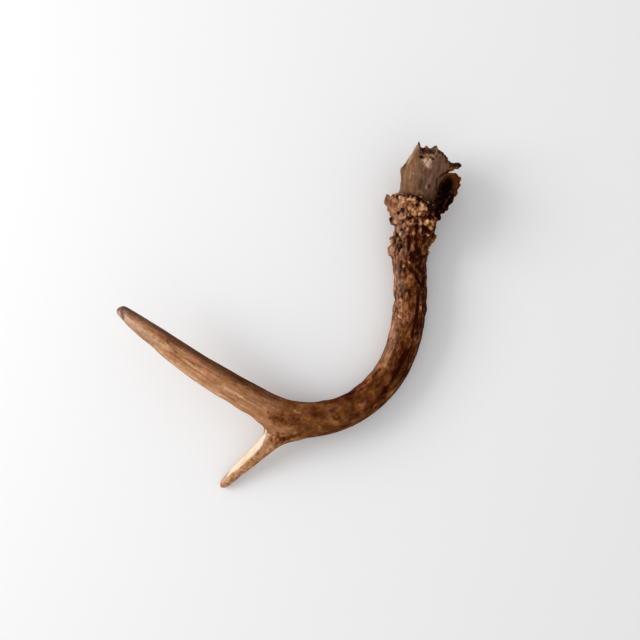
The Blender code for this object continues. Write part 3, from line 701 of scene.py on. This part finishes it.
# ---------------------------------------------------------------- the antler's relief
def scatter(skin, chance, wanted, sizes, spread):
    """Seeded places on a skin that keep apart: (point, outward direction, radius)."""
    order = [k for k in range(len(skin.points)) if sizes[k] > 0]
    chance.shuffle(order)
    outward = skin.outward()
    centres = np.empty((wanted, 3))
    radii = np.empty(wanted)
    kept = []
    for k in order:
        radius = sizes[k] * chance.uniform(0.7, 1.3)
        count = len(kept)
        gaps = np.linalg.norm(centres[:count] - skin.points[k], axis=1)
        if np.any(gaps < (radii[:count] + radius) * spread):
            continue
        centres[count] = skin.points[k]
        radii[count] = radius
        kept.append((Vector(skin.points[k]), Vector(outward[k]), radius))
        if len(kept) == wanted:
            break
    return kept


def ball(centre, out, radius, sunk=0.15, rough=0.0, longer=0.0):
    """A pearl sunk a little into the surface it grows on, uneven if rough, or drawn out."""
    shape = bmesh.new()
    bmesh.ops.create_icosphere(shape, subdivisions=2, radius=radius)
    axis = Vector(BURR_AXIS)
    for vert in shape.verts:
        spot = vert.co / radius + centre * (NOISE_STEP / MM)
        vert.co *= 1 + rough * noise.noise(spot)
        vert.co += axis * (vert.co.dot(axis) * longer)
    bmesh.ops.translate(shape, vec=centre - out * radius * sunk, verts=shape.verts)
    return shape


def plain(skin):
    """How plain the burr is at each point, from 0 to 1, on the side that faces the camera."""
    pixels, _ = in_view(skin.points)
    share = np.zeros(len(pixels))
    for x, y, radius in CALM:
        gap = np.hypot(pixels[:, 0] - x, pixels[:, 1] - y)
        share = np.maximum(share, ramp(gap, radius, 0.6 * radius))
    return share * (skin.outward()[:, 2] > -0.5)


def raised_side(skin):
    """How far each point is on the burr's raised side, from 0 to 1."""
    pixels, _ = in_view(skin.points)
    share = ramp(pixels[:, 0], *RAISED_ACROSS) * ramp(pixels[:, 1], *RAISED_DOWN)
    return share * (main_place(skin.points) < BURR_END)


def burr_pearls(skin, chance):
    """Pearls that crowd the burr's outer face and thin out down the foot of the beam."""
    outward = skin.outward()
    towards_bone = outward @ np.array(BURR_AXIS) > INNER_FACE[0]
    inner = towards_bone & (from_burr_axis(skin.points) < INNER_FACE[1])
    drawn = (plain(skin) > 0.3) | (raised_side(skin) > 0.2) | (outward[:, 2] > UPPER_FACE)
    bare = inner | drawn
    sizes = np.where(bare, 0, along(main_place(skin.points), PEARL_SIZES) * MM)
    places = scatter(skin, chance, PEARL_COUNT, sizes, 0.9)
    shapes = [ball(*place, rough=0.6) for place in places]
    tree = skin.face_tree()
    for x, y, radius in PEARLS:
        centre, out = seen(tree, (x, y))
        if centre is not None:
            size = radius * PEARL_GROWTH * MM
            shapes.append(ball(centre, out, size, rough=0.35, longer=0.35))
    return shapes


def hollow_dish(skin):
    """Hollow out the burr between the bone and its raised side, and notch its crest."""
    axis = np.array(BURR_AXIS)
    marks = Marks(skin)
    depth = marks.spots(DISH) * ramp(skin.outward() @ axis, -0.1, 0.25) + marks.spots(NOTCHES)
    skin.points = skin.points - axis * (depth * MM)[:, None]


def relax_beyond(skin, rounds, share, low, high):
    """Smooth the limbs beyond a place along the main line, in mm."""
    skin.relax(rounds, share * ramp(main_place(skin.points), low, high))


def antler_skin(chance):
    """The whole antler as one fine skin, smooth on its shaft and crowded at its burr."""
    nodes = ("beam", "main_point", "side_point")
    base = Skin(one_skin([cad_shape(node, SWELL) for node in nodes], 2 * VOXEL))
    relax_beyond(base, *SHAFT_SMOOTHING)
    base.relax(2)
    base.points = nudged(base.points)
    hollow_dish(base)
    relax_beyond(base, *POINT_SMOOTHING)
    base.relax(3)
    base.outward()
    shape = bmesh.new()
    shape.from_mesh(base.mesh)
    skin = Skin(one_skin([shape] + burr_pearls(base, chance), VOXEL))
    skin.relax(4)
    relax_beyond(skin, *FINE_SMOOTHING)
    skin.push(np.full(len(skin.points), -DRAWN_IN))
    return skin


def limb_relief(skin, flow):
    """Lumps, roughness, lengthwise knobs and flutes, and grain of the limbs, in mm."""
    points = skin.points
    pearly = 0.7 * wander(points, 3, 5) + 0.25 * wander(points, 1.6, 9)
    bend = np.column_stack([wander(points, 9, seed) for seed in (6, 7, 8)]) * 3 * MM
    layers = (
        (0.5 * wander(points, 13, 1), LUMPY),
        (pearly * (1 - 0.7 * plain(skin)), ROUGH),
        (valleys(flow + bend, (11, 6, 6), 2), KNOBBY),
        (valleys(flow, (26, 5.5, 5.5), 3), FLUTED),
        (wander(flow, (5, 1.4, 1.4), 4), GRAINY),
    )
    return sum(layer * along(flow[:, 0] / MM, heights) for layer, heights in layers)


def drawn_out(field, tree, points, spot, ahead):
    """Raise a field to a soft knob's height at a place, drawn out along the limb."""
    centre, radius, height, stretch = spot
    near = [k for _, k, _ in tree.find_range(centre, radius * stretch)]
    offset = points[near] - np.array(centre)
    run = offset @ ahead
    gap = (np.sum(offset * offset, axis=1) - run * run) + (run / stretch) ** 2
    rise = height * np.clip(1 - gap / radius ** 2, 0, 1) ** 2
    field[near] = np.maximum(field[near], rise)


def limb_knobs(skin, chance):
    """Knobs drawn out along the beam, those in the photograph and seeded ones, in mm."""
    faces = skin.face_tree()
    points = tree_of(skin.points)
    sizes = along(main_place(skin.points), KNOB_SIZES) * MM
    spots = []
    for centre, _, radius in scatter(skin, chance, KNOB_COUNT, sizes, 1.25):
        spots.append((centre, radius, None, chance.uniform(1.4, 3.2)))
    for x, y, radius, height, stretch in KNOBS:
        centre, _ = seen(faces, (x, y))
        if centre is not None:
            spots.append((centre, radius * MM, height, stretch))
    field = np.zeros(len(skin.points))
    for centre, radius, height, stretch in spots:
        nearest = MAIN.tree.find(centre)[1]
        if height is None:
            height = float(along(MAIN.places[nearest] / MM, KNOB_HEIGHTS))
        drawn_out(field, points, skin.points, (centre, radius, height, stretch),
                  MAIN.ahead[nearest])
    return field


def scattered_pits(skin, marks, chance):
    """Pits all round the beam, fewer and shallower towards the points, as depths in mm."""
    sizes = along(main_place(skin.points), PIT_SIZES) * MM
    depth = np.zeros(len(skin.points))
    for centre, _, radius in scatter(skin, chance, PIT_COUNT, sizes, 2.2):
        marks.spread(depth, centre, radius, radius / MM * 0.25)
    return depth * along(main_place(skin.points), PIT_DEPTHS)


def store_hollows(skin):
    """Mark how deep each point lies below its surroundings, near by and wider, in mm."""
    outward = skin.outward()
    near = skin.blur(skin.points, HOLLOW_ROUNDS[0])
    wide = skin.blur(near, HOLLOW_ROUNDS[1])
    skin.store("pit", np.sum((near - skin.points) * outward, axis=1) / MM)
    skin.store("hollow", np.sum((wide - skin.points) * outward, axis=1) / MM)


def store_stains(skin, stains):
    """Mark where each stain, painted shade and painted highlight lies, and how strongly."""
    marks = Marks(skin)
    for name, lines in stains.items():
        skin.store(name, skin.blur(marks.lines(lines), SOFTENED.get(name, 0)))


def shape_antler():
    """The antler's finished skin, with its masks stored for the material."""
    chance = random.Random(SEED)
    skin = antler_skin(chance)
    flow, _ = flow_of(skin.points)
    skin.push(limb_relief(skin, flow) * MM)
    marks = Marks(skin)
    heights = limb_knobs(skin, chance) - 0.8 * marks.spots(PITS) - marks.lines(GROOVES, 0.3)
    skin.push((heights - scattered_pits(skin, marks, chance)) * MM)
    flow, on_side = flow_of(skin.points)
    skin.store("flow", flow)
    skin.store("on_side", on_side)
    skin.store("edge", flow[:, 1] / np.maximum(np.hypot(flow[:, 1], flow[:, 2]), MM))
    # The burr's raised side, which the material darkens as painted shade and tints rust.
    skin.store("raised", raised_side(skin))
    store_stains(skin, STAINS)
    store_hollows(skin)
    skin.points[:, 2] = np.maximum(skin.points[:, 2], 0)
    return skin


def broken_edge(points):
    """The far edge of the bone shifted to the jagged line that the photograph shows."""
    pixels, size = in_view(points)
    columns = np.round(pixels[:, 0] * 2).astype(int)
    first = columns.min()
    edge = np.full(columns.max() - first + 1, np.inf)
    np.minimum.at(edge, columns - first, pixels[:, 1])
    wanted = np.interp(pixels[:, 0], *np.array(BROKEN_EDGE).T)
    below = pixels[:, 1] - edge[columns - first]
    shift = (edge[columns - first] - wanted) * (1 - ramp(below, 0, BREAK_REACH))
    for side in BREAK_SIDES:
        shift *= ramp(pixels[:, 0], *side)
    moved = points.copy()
    moved[:, 1] += shift * size
    return moved


def broken_pores(skin):
    """Pores and roughness of the bone's broken end, as depths in mm."""
    axis = np.array(BURR_AXIS)
    facing = (skin.outward() @ axis > PORES_FACING) & (skin.points @ axis > PORES_FROM * MM)
    marks = Marks(skin)
    chance = random.Random(SEED)
    depth = np.zeros(len(skin.points))
    sizes = np.where(facing, PORE_SIZE * MM, 0.0)
    for centre, _, radius in scatter(skin, chance, PORE_COUNT, sizes, 0.7):
        marks.spread(depth, centre, radius * chance.uniform(0.6, 1.7), chance.uniform(0.2, 0.8))
    return depth + 0.6 * wander(skin.points, 3.0, 14) * facing


def shape_bone():
    """The broken stub of skull bone."""
    shapes = [cad_shape("pedicle", SWELL)]
    for x, y, height, radius in SPLINTERS:
        shapes.append(ball(at_height(x, y, height), Vector(), radius * MM))
    skin = Skin(one_skin(shapes, BONE_VOXEL))
    skin.relax(3)
    skin.points = broken_edge(nudged(skin.points))
    skin.relax(3)
    lengthwise = np.outer(skin.points @ np.array(BURR_AXIS), BURR_AXIS)
    flow = skin.points - lengthwise * 2 / 3
    relief = 0.04 * wander(flow, 1.4, 11) + 0.35 * wander(skin.points, 5, 12)
    relief += 0.12 * wander(skin.points, 1.8, 13) - Marks(skin).spots(BONE_PITS)
    relief -= broken_pores(skin)
    skin.push(relief * MM - DRAWN_IN)
    skin.relax(1, 0.4)
    store_hollows(skin)
    skin.store("flow", flow)
    store_stains(skin, BONE_STAINS)
    return skin


# ---------------------------------------------------------------- pieces
KEPT = "outward"                        # the layer of directions that the shading keeps


def keep_outward(shape):
    """Keep every point's outward direction in a layer, so that a cut leaves no seam."""
    layer = shape.verts.layers.float_vector.new(KEPT)
    shape.normal_update()
    for vert in shape.verts:
        vert[layer] = vert.normal


def cut_across(shape, cut):
    """Cut a limb right through at a plane, and leave both sides in the same mesh."""
    middle = Vector(cut[0]) * MM
    reach = cut[2] * MM
    faces = [f for f in shape.faces if (f.calc_center_median() - middle).length < reach]
    edges = {edge for face in faces for edge in face.edges}
    verts = {vert for face in faces for vert in face.verts}
    made = bmesh.ops.bisect_plane(shape, geom=[*verts, *edges, *faces], dist=JOIN,
                                  plane_co=middle, plane_no=Vector(cut[1]))
    ring = [item for item in made["geom_cut"] if isinstance(item, bmesh.types.BMEdge)]
    bmesh.ops.split_edges(shape, edges=ring)


def island(start):
    """All points joined to one point."""
    found = {start}
    waiting = [start]
    while waiting:
        for edge in waiting.pop().link_edges:
            for vert in edge.verts:
                if vert not in found:
                    found.add(vert)
                    waiting.append(vert)
    return found


def taken_out(shape, verts):
    """A copy of a mesh that keeps only some of its points, with its open end closed."""
    keep = {vert.index for vert in verts}
    part = shape.copy()
    part.verts.ensure_lookup_table()
    bmesh.ops.delete(part, geom=[v for v in part.verts if v.index not in keep], context='VERTS')
    rims = [edge for edge in part.edges if edge.is_boundary]
    caps = bmesh.ops.holes_fill(part, edges=rims)["faces"]
    for cap in caps:
        cap.smooth = False
    bmesh.ops.triangulate(part, faces=caps)
    return part


def smooth_mesh(name, part):
    """A mesh whose skin is shaded by kept directions and whose caps are flat."""
    mesh = bpy.data.meshes.new(name)
    part.to_mesh(mesh)
    part.free()
    kept = read_out(mesh.attributes[KEPT].data, "vector")
    normals = kept[read_out(mesh.loops, "vertex_index", 1, np.int32).ravel()]
    for face in mesh.polygons:
        if not face.use_smooth:
            normals[list(face.loop_indices)] = face.normal
            face.use_smooth = True
    mesh.attributes.remove(mesh.attributes[KEPT])
    mesh.normals_split_custom_set(normals.tolist())
    return mesh


def limb_pieces(skin):
    """The antler's skin as three meshes that meet at the cuts."""
    skin.outward()
    skin.mesh.shade_smooth()
    shape = bmesh.new()
    shape.from_mesh(skin.mesh)
    keep_outward(shape)
    cut_across(shape, MAIN_CUT)
    cut_across(shape, SIDE_CUT)
    shape.verts.index_update()
    left = set(shape.verts)
    parts = []
    for line, name in ((MAIN_LINE, "long_point"), (SIDE_LINE, "side_tine")):
        tip = Vector(line[-1]) * MM
        verts = island(min(shape.verts, key=lambda vert: (vert.co - tip).length))
        left -= verts
        parts.append((name, taken_out(shape, verts)))
    parts.append(("beam_and_burr", taken_out(shape, left)))
    shape.free()
    return {name: smooth_mesh(name, part) for name, part in parts}


def add_piece(mesh, node, material):
    """A shown piece that stands for a CAD node."""
    mesh.materials.append(material)
    piece = add_object(mesh.name, mesh)
    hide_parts(node)
    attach(piece, "root")
    return piece


# ---------------------------------------------------------------- materials
# Along the antler from the burr (0) to the tip (1): how pale it is, how much it varies, how
# much lengthwise lines show in it, how cloudy it is, how much its hollows are darker, and how
# much its inner side is paler (from 0.5 up) or its outer side (from 0.5 down). The paler side
# is painted light and the darker side painted shade: on the beam and the long point the paler
# side is the one towards the lamp.
PALENESS = (
    (0, 0.65), (0.04, 0.51), (0.07, 0.43), (0.12, 0.385), (0.20, 0.365), (0.26, 0.42),
    (0.36, 0.40), (0.42, 0.385), (0.46, 0.445), (0.52, 0.555), (0.58, 0.665), (0.68, 0.78),
    (0.88, 0.775), (0.96, 0.76), (1, 0.60),
)
VARIETY = (
    (0, 0.65), (0.2, 1), (0.33, 1), (0.42, 0.80), (0.55, 0.55), (0.64, 0.42), (0.75, 0.42),
    (0.85, 0.60), (1, 0.60),
)
LINED = (
    (0, 0), (0.1, 0), (0.2, 0.3), (0.3, 0.3), (0.36, 0), (0.54, 0.1), (0.62, 0.5), (0.7, 0.42),
    (1, 0.5),
)
CLOUDY = ((0, 0), (0.26, 0), (0.36, 0.85), (0.58, 0.85), (0.66, 0), (1, 0))
WORN = ((0, 0.53), (0.08, 0.62), (0.2, 0.50), (0.35, 0.40), (1, 0.40))
LEANING = (
    (0, 0.53), (0.1, 0.62), (0.30, 0.61), (0.38, 0.50), (0.46, 0.44), (0.52, 0.47), (0.62, 0.41),
    (0.9, 0.43), (1, 0.5),
)
# How the paler side's share runs across a limb, from its outer (0) to its inner side (1);
# this paler side is painted light, the other painted shade.
ACROSS = ((0, 0.30), (0.25, 0.26), (0.5, 0.34), (0.75, 0.675), (1, 0.925))
DEEP = (0.021, 0.0028, 0.0009)
UMBER = (0.053, 0.0096, 0.0019)
BROWN = (0.105, 0.0285, 0.0064)
RUSSET = (0.190, 0.067, 0.021)
TAN = (0.330, 0.150, 0.068)
HORN = (0.460, 0.230, 0.110)
SAND = (0.640, 0.400, 0.240)
CREAM = (0.860, 0.670, 0.490)
GOLD = (0.175, 0.060, 0.011)
# pink of the painted sheen on the beam's lit side
PINK_SHEEN = (0.200, 0.100, 0.062)
SALMON = (0.270, 0.104, 0.048)
RUST = (0.110, 0.028, 0.005)
ASH = (0.085, 0.052, 0.050)
DUSK = (0.110, 0.058, 0.046)
DULL = (0.255, 0.167, 0.130)
TAN_CREAM = (0.740, 0.500, 0.330)
WARM_BONE = (0.185, 0.092, 0.045)
# Dark red, partly painted shade in the burr's dish and crevices.
WINE_AND_SHADE = (0.0150, 0.0016, 0.0009)
ROSY = (0.215, 0.092, 0.050)
AMBER = (0.215, 0.079, 0.021)
MAUVE = (0.120, 0.066, 0.052)
GREY_BONE = (0.158, 0.078, 0.043)
DARK_BONE = (0.060, 0.028, 0.017)
PALE_BONE = (0.290, 0.160, 0.092)
CHIP = (0.560, 0.390, 0.270)
# A tint's dark shade by its red, green and blue parts, and how much brighter its light one is.
DARKENING = (0.14, 0.095, 0.065)
BRIGHTENING = 2.6
ROUGHNESS = 0.7
SHINE = 1.08                            # index of refraction, low for a dull surface
LONG_WAY = 340                          # mm from the burr (0) to the tip (1)
BUMP_HEIGHT = 0.3                       # in mm

# Colours from dark to pale.
ANTLER_COLOURS = (
    (0, DEEP), (0.2, UMBER), (0.4, BROWN), (0.55, RUSSET), (0.7, TAN), (0.85, HORN), (1, SAND),
)
BONE_COLOURS = ((0, DEEP), (0.2, DARK_BONE), (0.5, GREY_BONE), (0.75, PALE_BONE), (1, CHIP))
# The tint of each stain, with painted shade and painted glints among them, and its greatest share.
ANTLER_TINTS = (
    ("gold", GOLD, 0.5), ("salmon", SALMON, 0.7), ("grey", MAUVE, 0.7), ("wine_and_shade", WINE_AND_SHADE, 0.95),
    ("rust", RUST, 0.85), ("ash_and_glints", ASH, 0.9),
)
BONE_TINTS = (("mauve", MAUVE, 0.45), ("warm", WARM_BONE, 0.6), ("gold", GOLD, 0.8))
# Noises: coordinates (none for the piece's own), length, width and height of their lumps in
# mm, detail, roughness and warp.
ANTLER_NOISES = {
    "streaks": ("flow", (10, 2.2, 2.2), 3, 0.55, 0.6),
    "lines": ("flow", (22, 1.5, 1.5), 2, 0.5, 0.4),
    "grain": ("flow", (1.3, 1, 1), 2, 0.6, 0),
    "mottle": ("flow", (2.8, 2, 2), 3, 0.6, 0.6),
    "broad": ("flow", (14, 7, 7), 2, 0.5, 0.5),
    "specks": ("flow", (2.6, 1.6, 1.6), 1, 0.5, 0),
    "hue": ("flow", (15, 4.5, 4.5), 2, 0.5, 0.8),
    "clouds": (None, (8, 8, 8), 2, 0.5, 0),
    "spots": (None, (2.4, 2.4, 2.4), 3, 0.6, 0),
}
BONE_NOISES = {
    "streaks": ("flow", (1.2, 1.2, 1.2), 3, 0.6, 0),
    "broad": ("flow", (5, 5, 5), 2, 0.5, 0.4),
    "mottle": ("flow", (2.2, 2.2, 2.2), 3, 0.6, 0.4),
}


class Paint:
    """A material, built up node by node."""

    def __init__(self, name, noises):
        self.material = bpy.data.materials.new(name)
        self.material.use_nodes = True
        self.tree = self.material.node_tree
        self.shader = self.tree.nodes["Principled BSDF"]
        layers = {key: self.noise(*noise) for key, noise in noises.items()}
        self.layers = SimpleNamespace(**layers)

    def feed(self, socket, value):
        """Link a node's output to a socket, or set the socket to a plain value."""
        if isinstance(value, bpy.types.NodeSocket):
            self.tree.links.new(value, socket)
        elif isinstance(value, tuple) and socket.type == 'RGBA':
            socket.default_value = (*value, 1)
        else:
            socket.default_value = value

    def new(self, kind, **inputs):
        """A new node with some of its inputs fed."""
        node = self.tree.nodes.new("ShaderNode" + kind)
        for name, value in inputs.items():
            self.feed(node.inputs[name.replace("_", " ")], value)
        return node

    def stored(self, name, output="Fac"):
        """A value, or with the output Vector coordinates, stored on the mesh."""
        node = self.new("Attribute")
        node.attribute_name = name
        return node.outputs[output]

    def place(self, name, size):
        """Stored coordinates, or without a name the piece's own, in lumps of a size (mm)."""
        if name is None:
            coordinates = self.new("TexCoord").outputs["Object"]
        else:
            coordinates = self.stored(name, "Vector")
        node = self.new("VectorMath")
        node.operation = 'MULTIPLY'
        self.feed(node.inputs[0], coordinates)
        node.inputs[1].default_value = [1 / (MM * length) for length in size]
        return node.outputs[0]

    def noise(self, name, size, detail, roughness, warp):
        """Noise from 0 to 1."""
        node = self.new("TexNoise", Vector=self.place(name, size), Scale=1.0, Detail=detail,
                        Roughness=roughness, Distortion=warp)
        return node.outputs["Fac"]

    def maths(self, operation, *values):
        """One sum on two or three values."""
        node = self.new("Math")
        node.operation = operation
        for socket, value in zip(node.inputs, values):
            self.feed(socket, value)
        return node.outputs[0]

    def times(self, a, b):
        """One value times another."""
        return self.maths('MULTIPLY', a, b)

    def off_half(self, value):
        """How far a value is from 0.5."""
        return self.maths('SUBTRACT', value, 0.5)

    def add(self, total, *parts):
        """A value with others added to it by their weights."""
        for value, weight in parts:
            total = self.maths('MULTIPLY_ADD', value, weight, total)
        return total

    def blend(self, *parts):
        """Values about 0.5 added up by their weights, again about 0.5."""
        return self.add(0.5 - sum(weight for _, weight in parts) / 2, *parts)

    def fade(self, value, low, high, start=0.0, end=1.0):
        """A value brought from a span to another span, smooth at both ends."""
        node = self.new("MapRange", Value=value, From_Min=low, From_Max=high, To_Min=start,
                        To_Max=end)
        node.interpolation_type = 'SMOOTHSTEP'
        return node.outputs["Result"]

    def mix(self, share, a, b):
        """Two colours mixed by a share."""
        node = self.new("Mix")
        node.data_type = 'RGBA'
        for socket, value in ((0, share), (6, a), (7, b)):
            self.feed(node.inputs[socket], value)
        return node.outputs[2]

    def colours(self, value, stops):
        """A colour read from (place, colour) stops."""
        node = self.new("ValToRGB", Fac=value)
        ladder = node.color_ramp.elements
        ladder[0].position, ladder[1].position = stops[0][0], stops[-1][0]
        ladder[0].color, ladder[1].color = (*stops[0][1], 1), (*stops[-1][1], 1)
        for place, colour in stops[1:-1]:
            ladder.new(place).color = (*colour, 1)
        return node.outputs["Color"]

    def curve(self, value, stops):
        """A number looked up in (place, number) stops, through a soft curve."""
        node = self.new("FloatCurve", Value=value)
        points = node.mapping.curves[0].points
        points[0].location, points[1].location = stops[0], stops[-1]
        for stop in stops[1:-1]:
            points.new(*stop)
        node.mapping.update()
        return node.outputs["Value"]

    def ragged(self, name, grain):
        """A stored mask with its rim broken up by a noise."""
        share = self.maths('MULTIPLY_ADD', grain, 2.4, -0.2)
        return self.fade(self.times(self.stored(name), share), 0.02, 0.85)

    def tinted(self, colour, tone, tint, share):
        """A colour with a share of a tint over it, in the tint's dark, middle and light shades."""
        dark = tuple(part * darker for part, darker in zip(tint, DARKENING))
        light = tuple(min(1.0, BRIGHTENING * part) for part in tint)
        shades = self.colours(tone, ((0.05, dark), (0.45, tint), (1.0, light)))
        return self.mix(share, colour, shades)

    def finish(self, colour, tone, tints, height, strength):
        """Lay stains, painted shade and glints over a colour, set the surface, and give back the
        material.
        """
        for name, tint, most in tints:
            share = self.times(self.ragged(name, self.layers.mottle), most)
            colour = self.tinted(colour, tone, tint, share)
        self.feed(self.shader.inputs["Base Color"], colour)
        self.shader.inputs["Roughness"].default_value = ROUGHNESS
        self.shader.inputs["IOR"].default_value = SHINE
        bump = self.new("Bump", Strength=strength, Distance=BUMP_HEIGHT * MM,
                        Height=height)
        self.feed(self.shader.inputs["Normal"], bump.outputs["Normal"])
        return self.material


def antler_tone(paint, place):
    """How pale the antler is: by its noises, place, relief and stains, and painted light and shade.
    """
    layers = paint.layers
    tone = paint.blend((layers.streaks, 0.8), (layers.mottle, 0.8), (layers.broad, 1.0),
                       (layers.grain, 0.5))
    cloudy = paint.blend((layers.clouds, 1.3), (layers.spots, 0.6), (layers.mottle, 0.25),
                         (layers.streaks, 0.2))
    change = paint.maths('SUBTRACT', cloudy, tone)
    tone = paint.add(tone, (change, paint.curve(place, CLOUDY)))
    tone = paint.add(tone, (paint.fade(layers.specks, 0.36, 0.30), -0.12))
    crest = paint.fade(paint.stored("pit"), 0.25, -0.35)
    rise = paint.fade(paint.stored("hollow"), 0.55, -0.9)
    side = paint.curve(paint.maths('MULTIPLY_ADD', paint.stored("edge"), 0.5, 0.5), ACROSS)
    return paint.add(
        paint.times(paint.off_half(tone), paint.curve(place, VARIETY)),
        (paint.off_half(layers.lines), paint.curve(place, LINED)),
        (paint.off_half(paint.blend((crest, 0.3), (rise, 0.9))), paint.curve(place, WORN)),
        # painted light and shade: the side towards the lamp paler, the other side darker
        (paint.off_half(paint.curve(place, LEANING)), paint.maths('MULTIPLY_ADD', side, 4, -2)),
        (paint.curve(place, PALENESS), 1),
        # grime with painted shade darkens it; pale wear with painted highlights lightens it
        (paint.ragged("dirt_and_shade", layers.mottle), -0.36),
        (paint.ragged("pale", layers.mottle), 0.4),
        # painted shade on the burr's raised side
        (paint.stored("raised"), -0.25),
        (paint.stored("on_side"), paint.maths('MULTIPLY_ADD', layers.spots, 0.9, -0.48)))


def antler_colour(paint, place, tone):
    """The antler's colour: dark to pale, dusky outside, creamy on its side point, painted sheen on
    the beam.
    """
    layers = paint.layers
    edge = paint.stored("edge")
    colour = paint.colours(tone, ANTLER_COLOURS)
    for tint, value, *span in ((ROSY, layers.hue, 0.52, 0.68, 0, 0.5),
                               (AMBER, layers.hue, 0.48, 0.32, 0, 0.5),
                               (DULL, place, 0.83, 0.94, 0, 0.45)):
        colour = paint.tinted(colour, tone, tint, paint.fade(value, *span))
    rim = paint.blend((edge, 1.0), (layers.streaks, 0.5))
    band = paint.times(paint.fade(rim, 0.45, 0.95), paint.fade(place, 0.50, 0.66))
    dusk = paint.mix(paint.fade(place, 0.70, 0.85), UMBER, DUSK)
    colour = paint.mix(paint.times(band, 0.75), colour, dusk)
    tine = paint.times(paint.fade(paint.stored("on_side"), 0.5, 1, 0, 0.5),
                       paint.fade(rim, 0.1, 0.7))
    tine = paint.maths('MAXIMUM', tine, paint.fade(paint.stored("cream"), 0.05, 0.70))
    colour = paint.mix(tine, colour,
                       paint.mix(paint.fade(layers.streaks, 0.3, 0.55), TAN_CREAM, CREAM))
    # the burr's raised side, darkened as painted shade, tinted rust
    colour = paint.tinted(colour, tone, RUST, paint.times(paint.stored("raised"), 0.7))
    # painted pink reflection of the floor on the beam's side towards the lamp
    lit_flank_sheen = paint.times(paint.fade(edge, 0.2, 0.85), paint.fade(place, 0.38, 0.28, 0, 0.7))
    return paint.tinted(colour, tone, PINK_SHEEN, lit_flank_sheen)


def antler_paint():
    """Weathered antler: dark in its hollows, worn pale on its crests and on its points."""
    paint = Paint("Antler", ANTLER_NOISES)
    way = paint.new("SeparateXYZ", Vector=paint.place("flow", (LONG_WAY,) * 3))
    tone = antler_tone(paint, way.outputs["X"])
    colour = antler_colour(paint, way.outputs["X"], tone)
    grain = paint.blend((paint.layers.mottle, 1.0), (paint.layers.grain, 0.6))
    return paint.finish(colour, tone, ANTLER_TINTS, grain, 0.35)


def bone_paint():
    """Old grey-brown bone with fine streaks along it, dark stains and painted shade, golden stains,
    pale chips.
    """
    paint = Paint("Skull bone", BONE_NOISES)
    layers = paint.layers
    crest = paint.fade(paint.stored("pit"), 0.2, -0.2)
    tone = paint.blend((layers.streaks, 0.14), (layers.broad, 0.5), (layers.mottle, 0.6),
                       (crest, 0.3))
    # grime and painted shade darken the bone, pale chips lighten it
    tone = paint.add(tone, (paint.ragged("dirt_and_shade", layers.mottle), -0.4),
                     (paint.ragged("pale", layers.streaks), 0.5))
    colour = paint.colours(tone, BONE_COLOURS)
    return paint.finish(colour, tone, BONE_TINTS, layers.streaks, 0.12)


# ---------------------------------------------------------------- room
AIR = 0.74                              # strength of the light from all round
AIR_COLOUR = (0.98, 0.98, 0.985, 1)
LAMP_PLACE = (-1.1, 0.25, 0.72)
LAMP_SIZE = (0.9, 0.7)
LAMP_WATTS = 11
FLOOR_SIZE = 3.0
FLOOR_COLOUR = (0.88, 0.88, 0.88, 1)


def add_camera():
    """A camera straight above the antler."""
    camera = bpy.data.cameras.new("Camera")
    camera.angle = 2 * math.atan(VIEW_HALF_WIDTH / CAMERA_HEIGHT)
    holder = add_object("Camera", camera)
    holder.location = (*CAMERA_PLACE, CAMERA_HEIGHT)
    bpy.context.scene.camera = holder


def add_light():
    """A broad soft light from the left."""
    lamp = bpy.data.lights.new("Window", 'AREA')
    lamp.shape = 'RECTANGLE'
    lamp.size, lamp.size_y = LAMP_SIZE
    lamp.energy = LAMP_WATTS
    holder = add_object("Window", lamp)
    holder.location = LAMP_PLACE
    holder.rotation_euler = (-holder.location).to_track_quat('-Z', 'Y').to_euler()
    bpy.context.scene.view_settings.view_transform = 'Standard'


def add_air():
    """Even light from all round, which shiny surfaces don't mirror."""
    world = bpy.data.worlds.new("Air")
    bpy.context.scene.world = world
    world.use_nodes = True
    air = world.node_tree.nodes["Background"]
    air.inputs["Color"].default_value = AIR_COLOUR
    air.inputs["Strength"].default_value = AIR
    world.cycles_visibility.glossy = False


def add_floor():
    """A plain pale floor."""
    shape = bmesh.new()
    bmesh.ops.create_grid(shape, x_segments=1, y_segments=1, size=FLOOR_SIZE)
    mesh = bpy.data.meshes.new("Floor")
    shape.to_mesh(mesh)
    shape.free()
    floor = add_object("Floor", mesh)
    material = bpy.data.materials.new("Floor")
    material.use_nodes = True
    shader = material.node_tree.nodes["Principled BSDF"]
    shader.inputs["Base Color"].default_value = FLOOR_COLOUR
    shader.inputs["Roughness"].default_value = ROUGHNESS
    mesh.materials.append(material)


def build():
    """Make every piece, the floor, the light and the camera."""
    limbs = limb_pieces(shape_antler())
    antler = antler_paint()
    add_piece(limbs["beam_and_burr"], "beam", antler)
    add_piece(limbs["long_point"], "main_point", antler)
    add_piece(limbs["side_tine"], "side_point", antler)
    bone = shape_bone()
    bone.outward()
    bone.mesh.name = "skull_bone"
    bone.mesh.shade_smooth()
    add_piece(bone.mesh, "pedicle", bone_paint())
    add_camera()
    add_light()
    add_air()
    add_floor()


build()
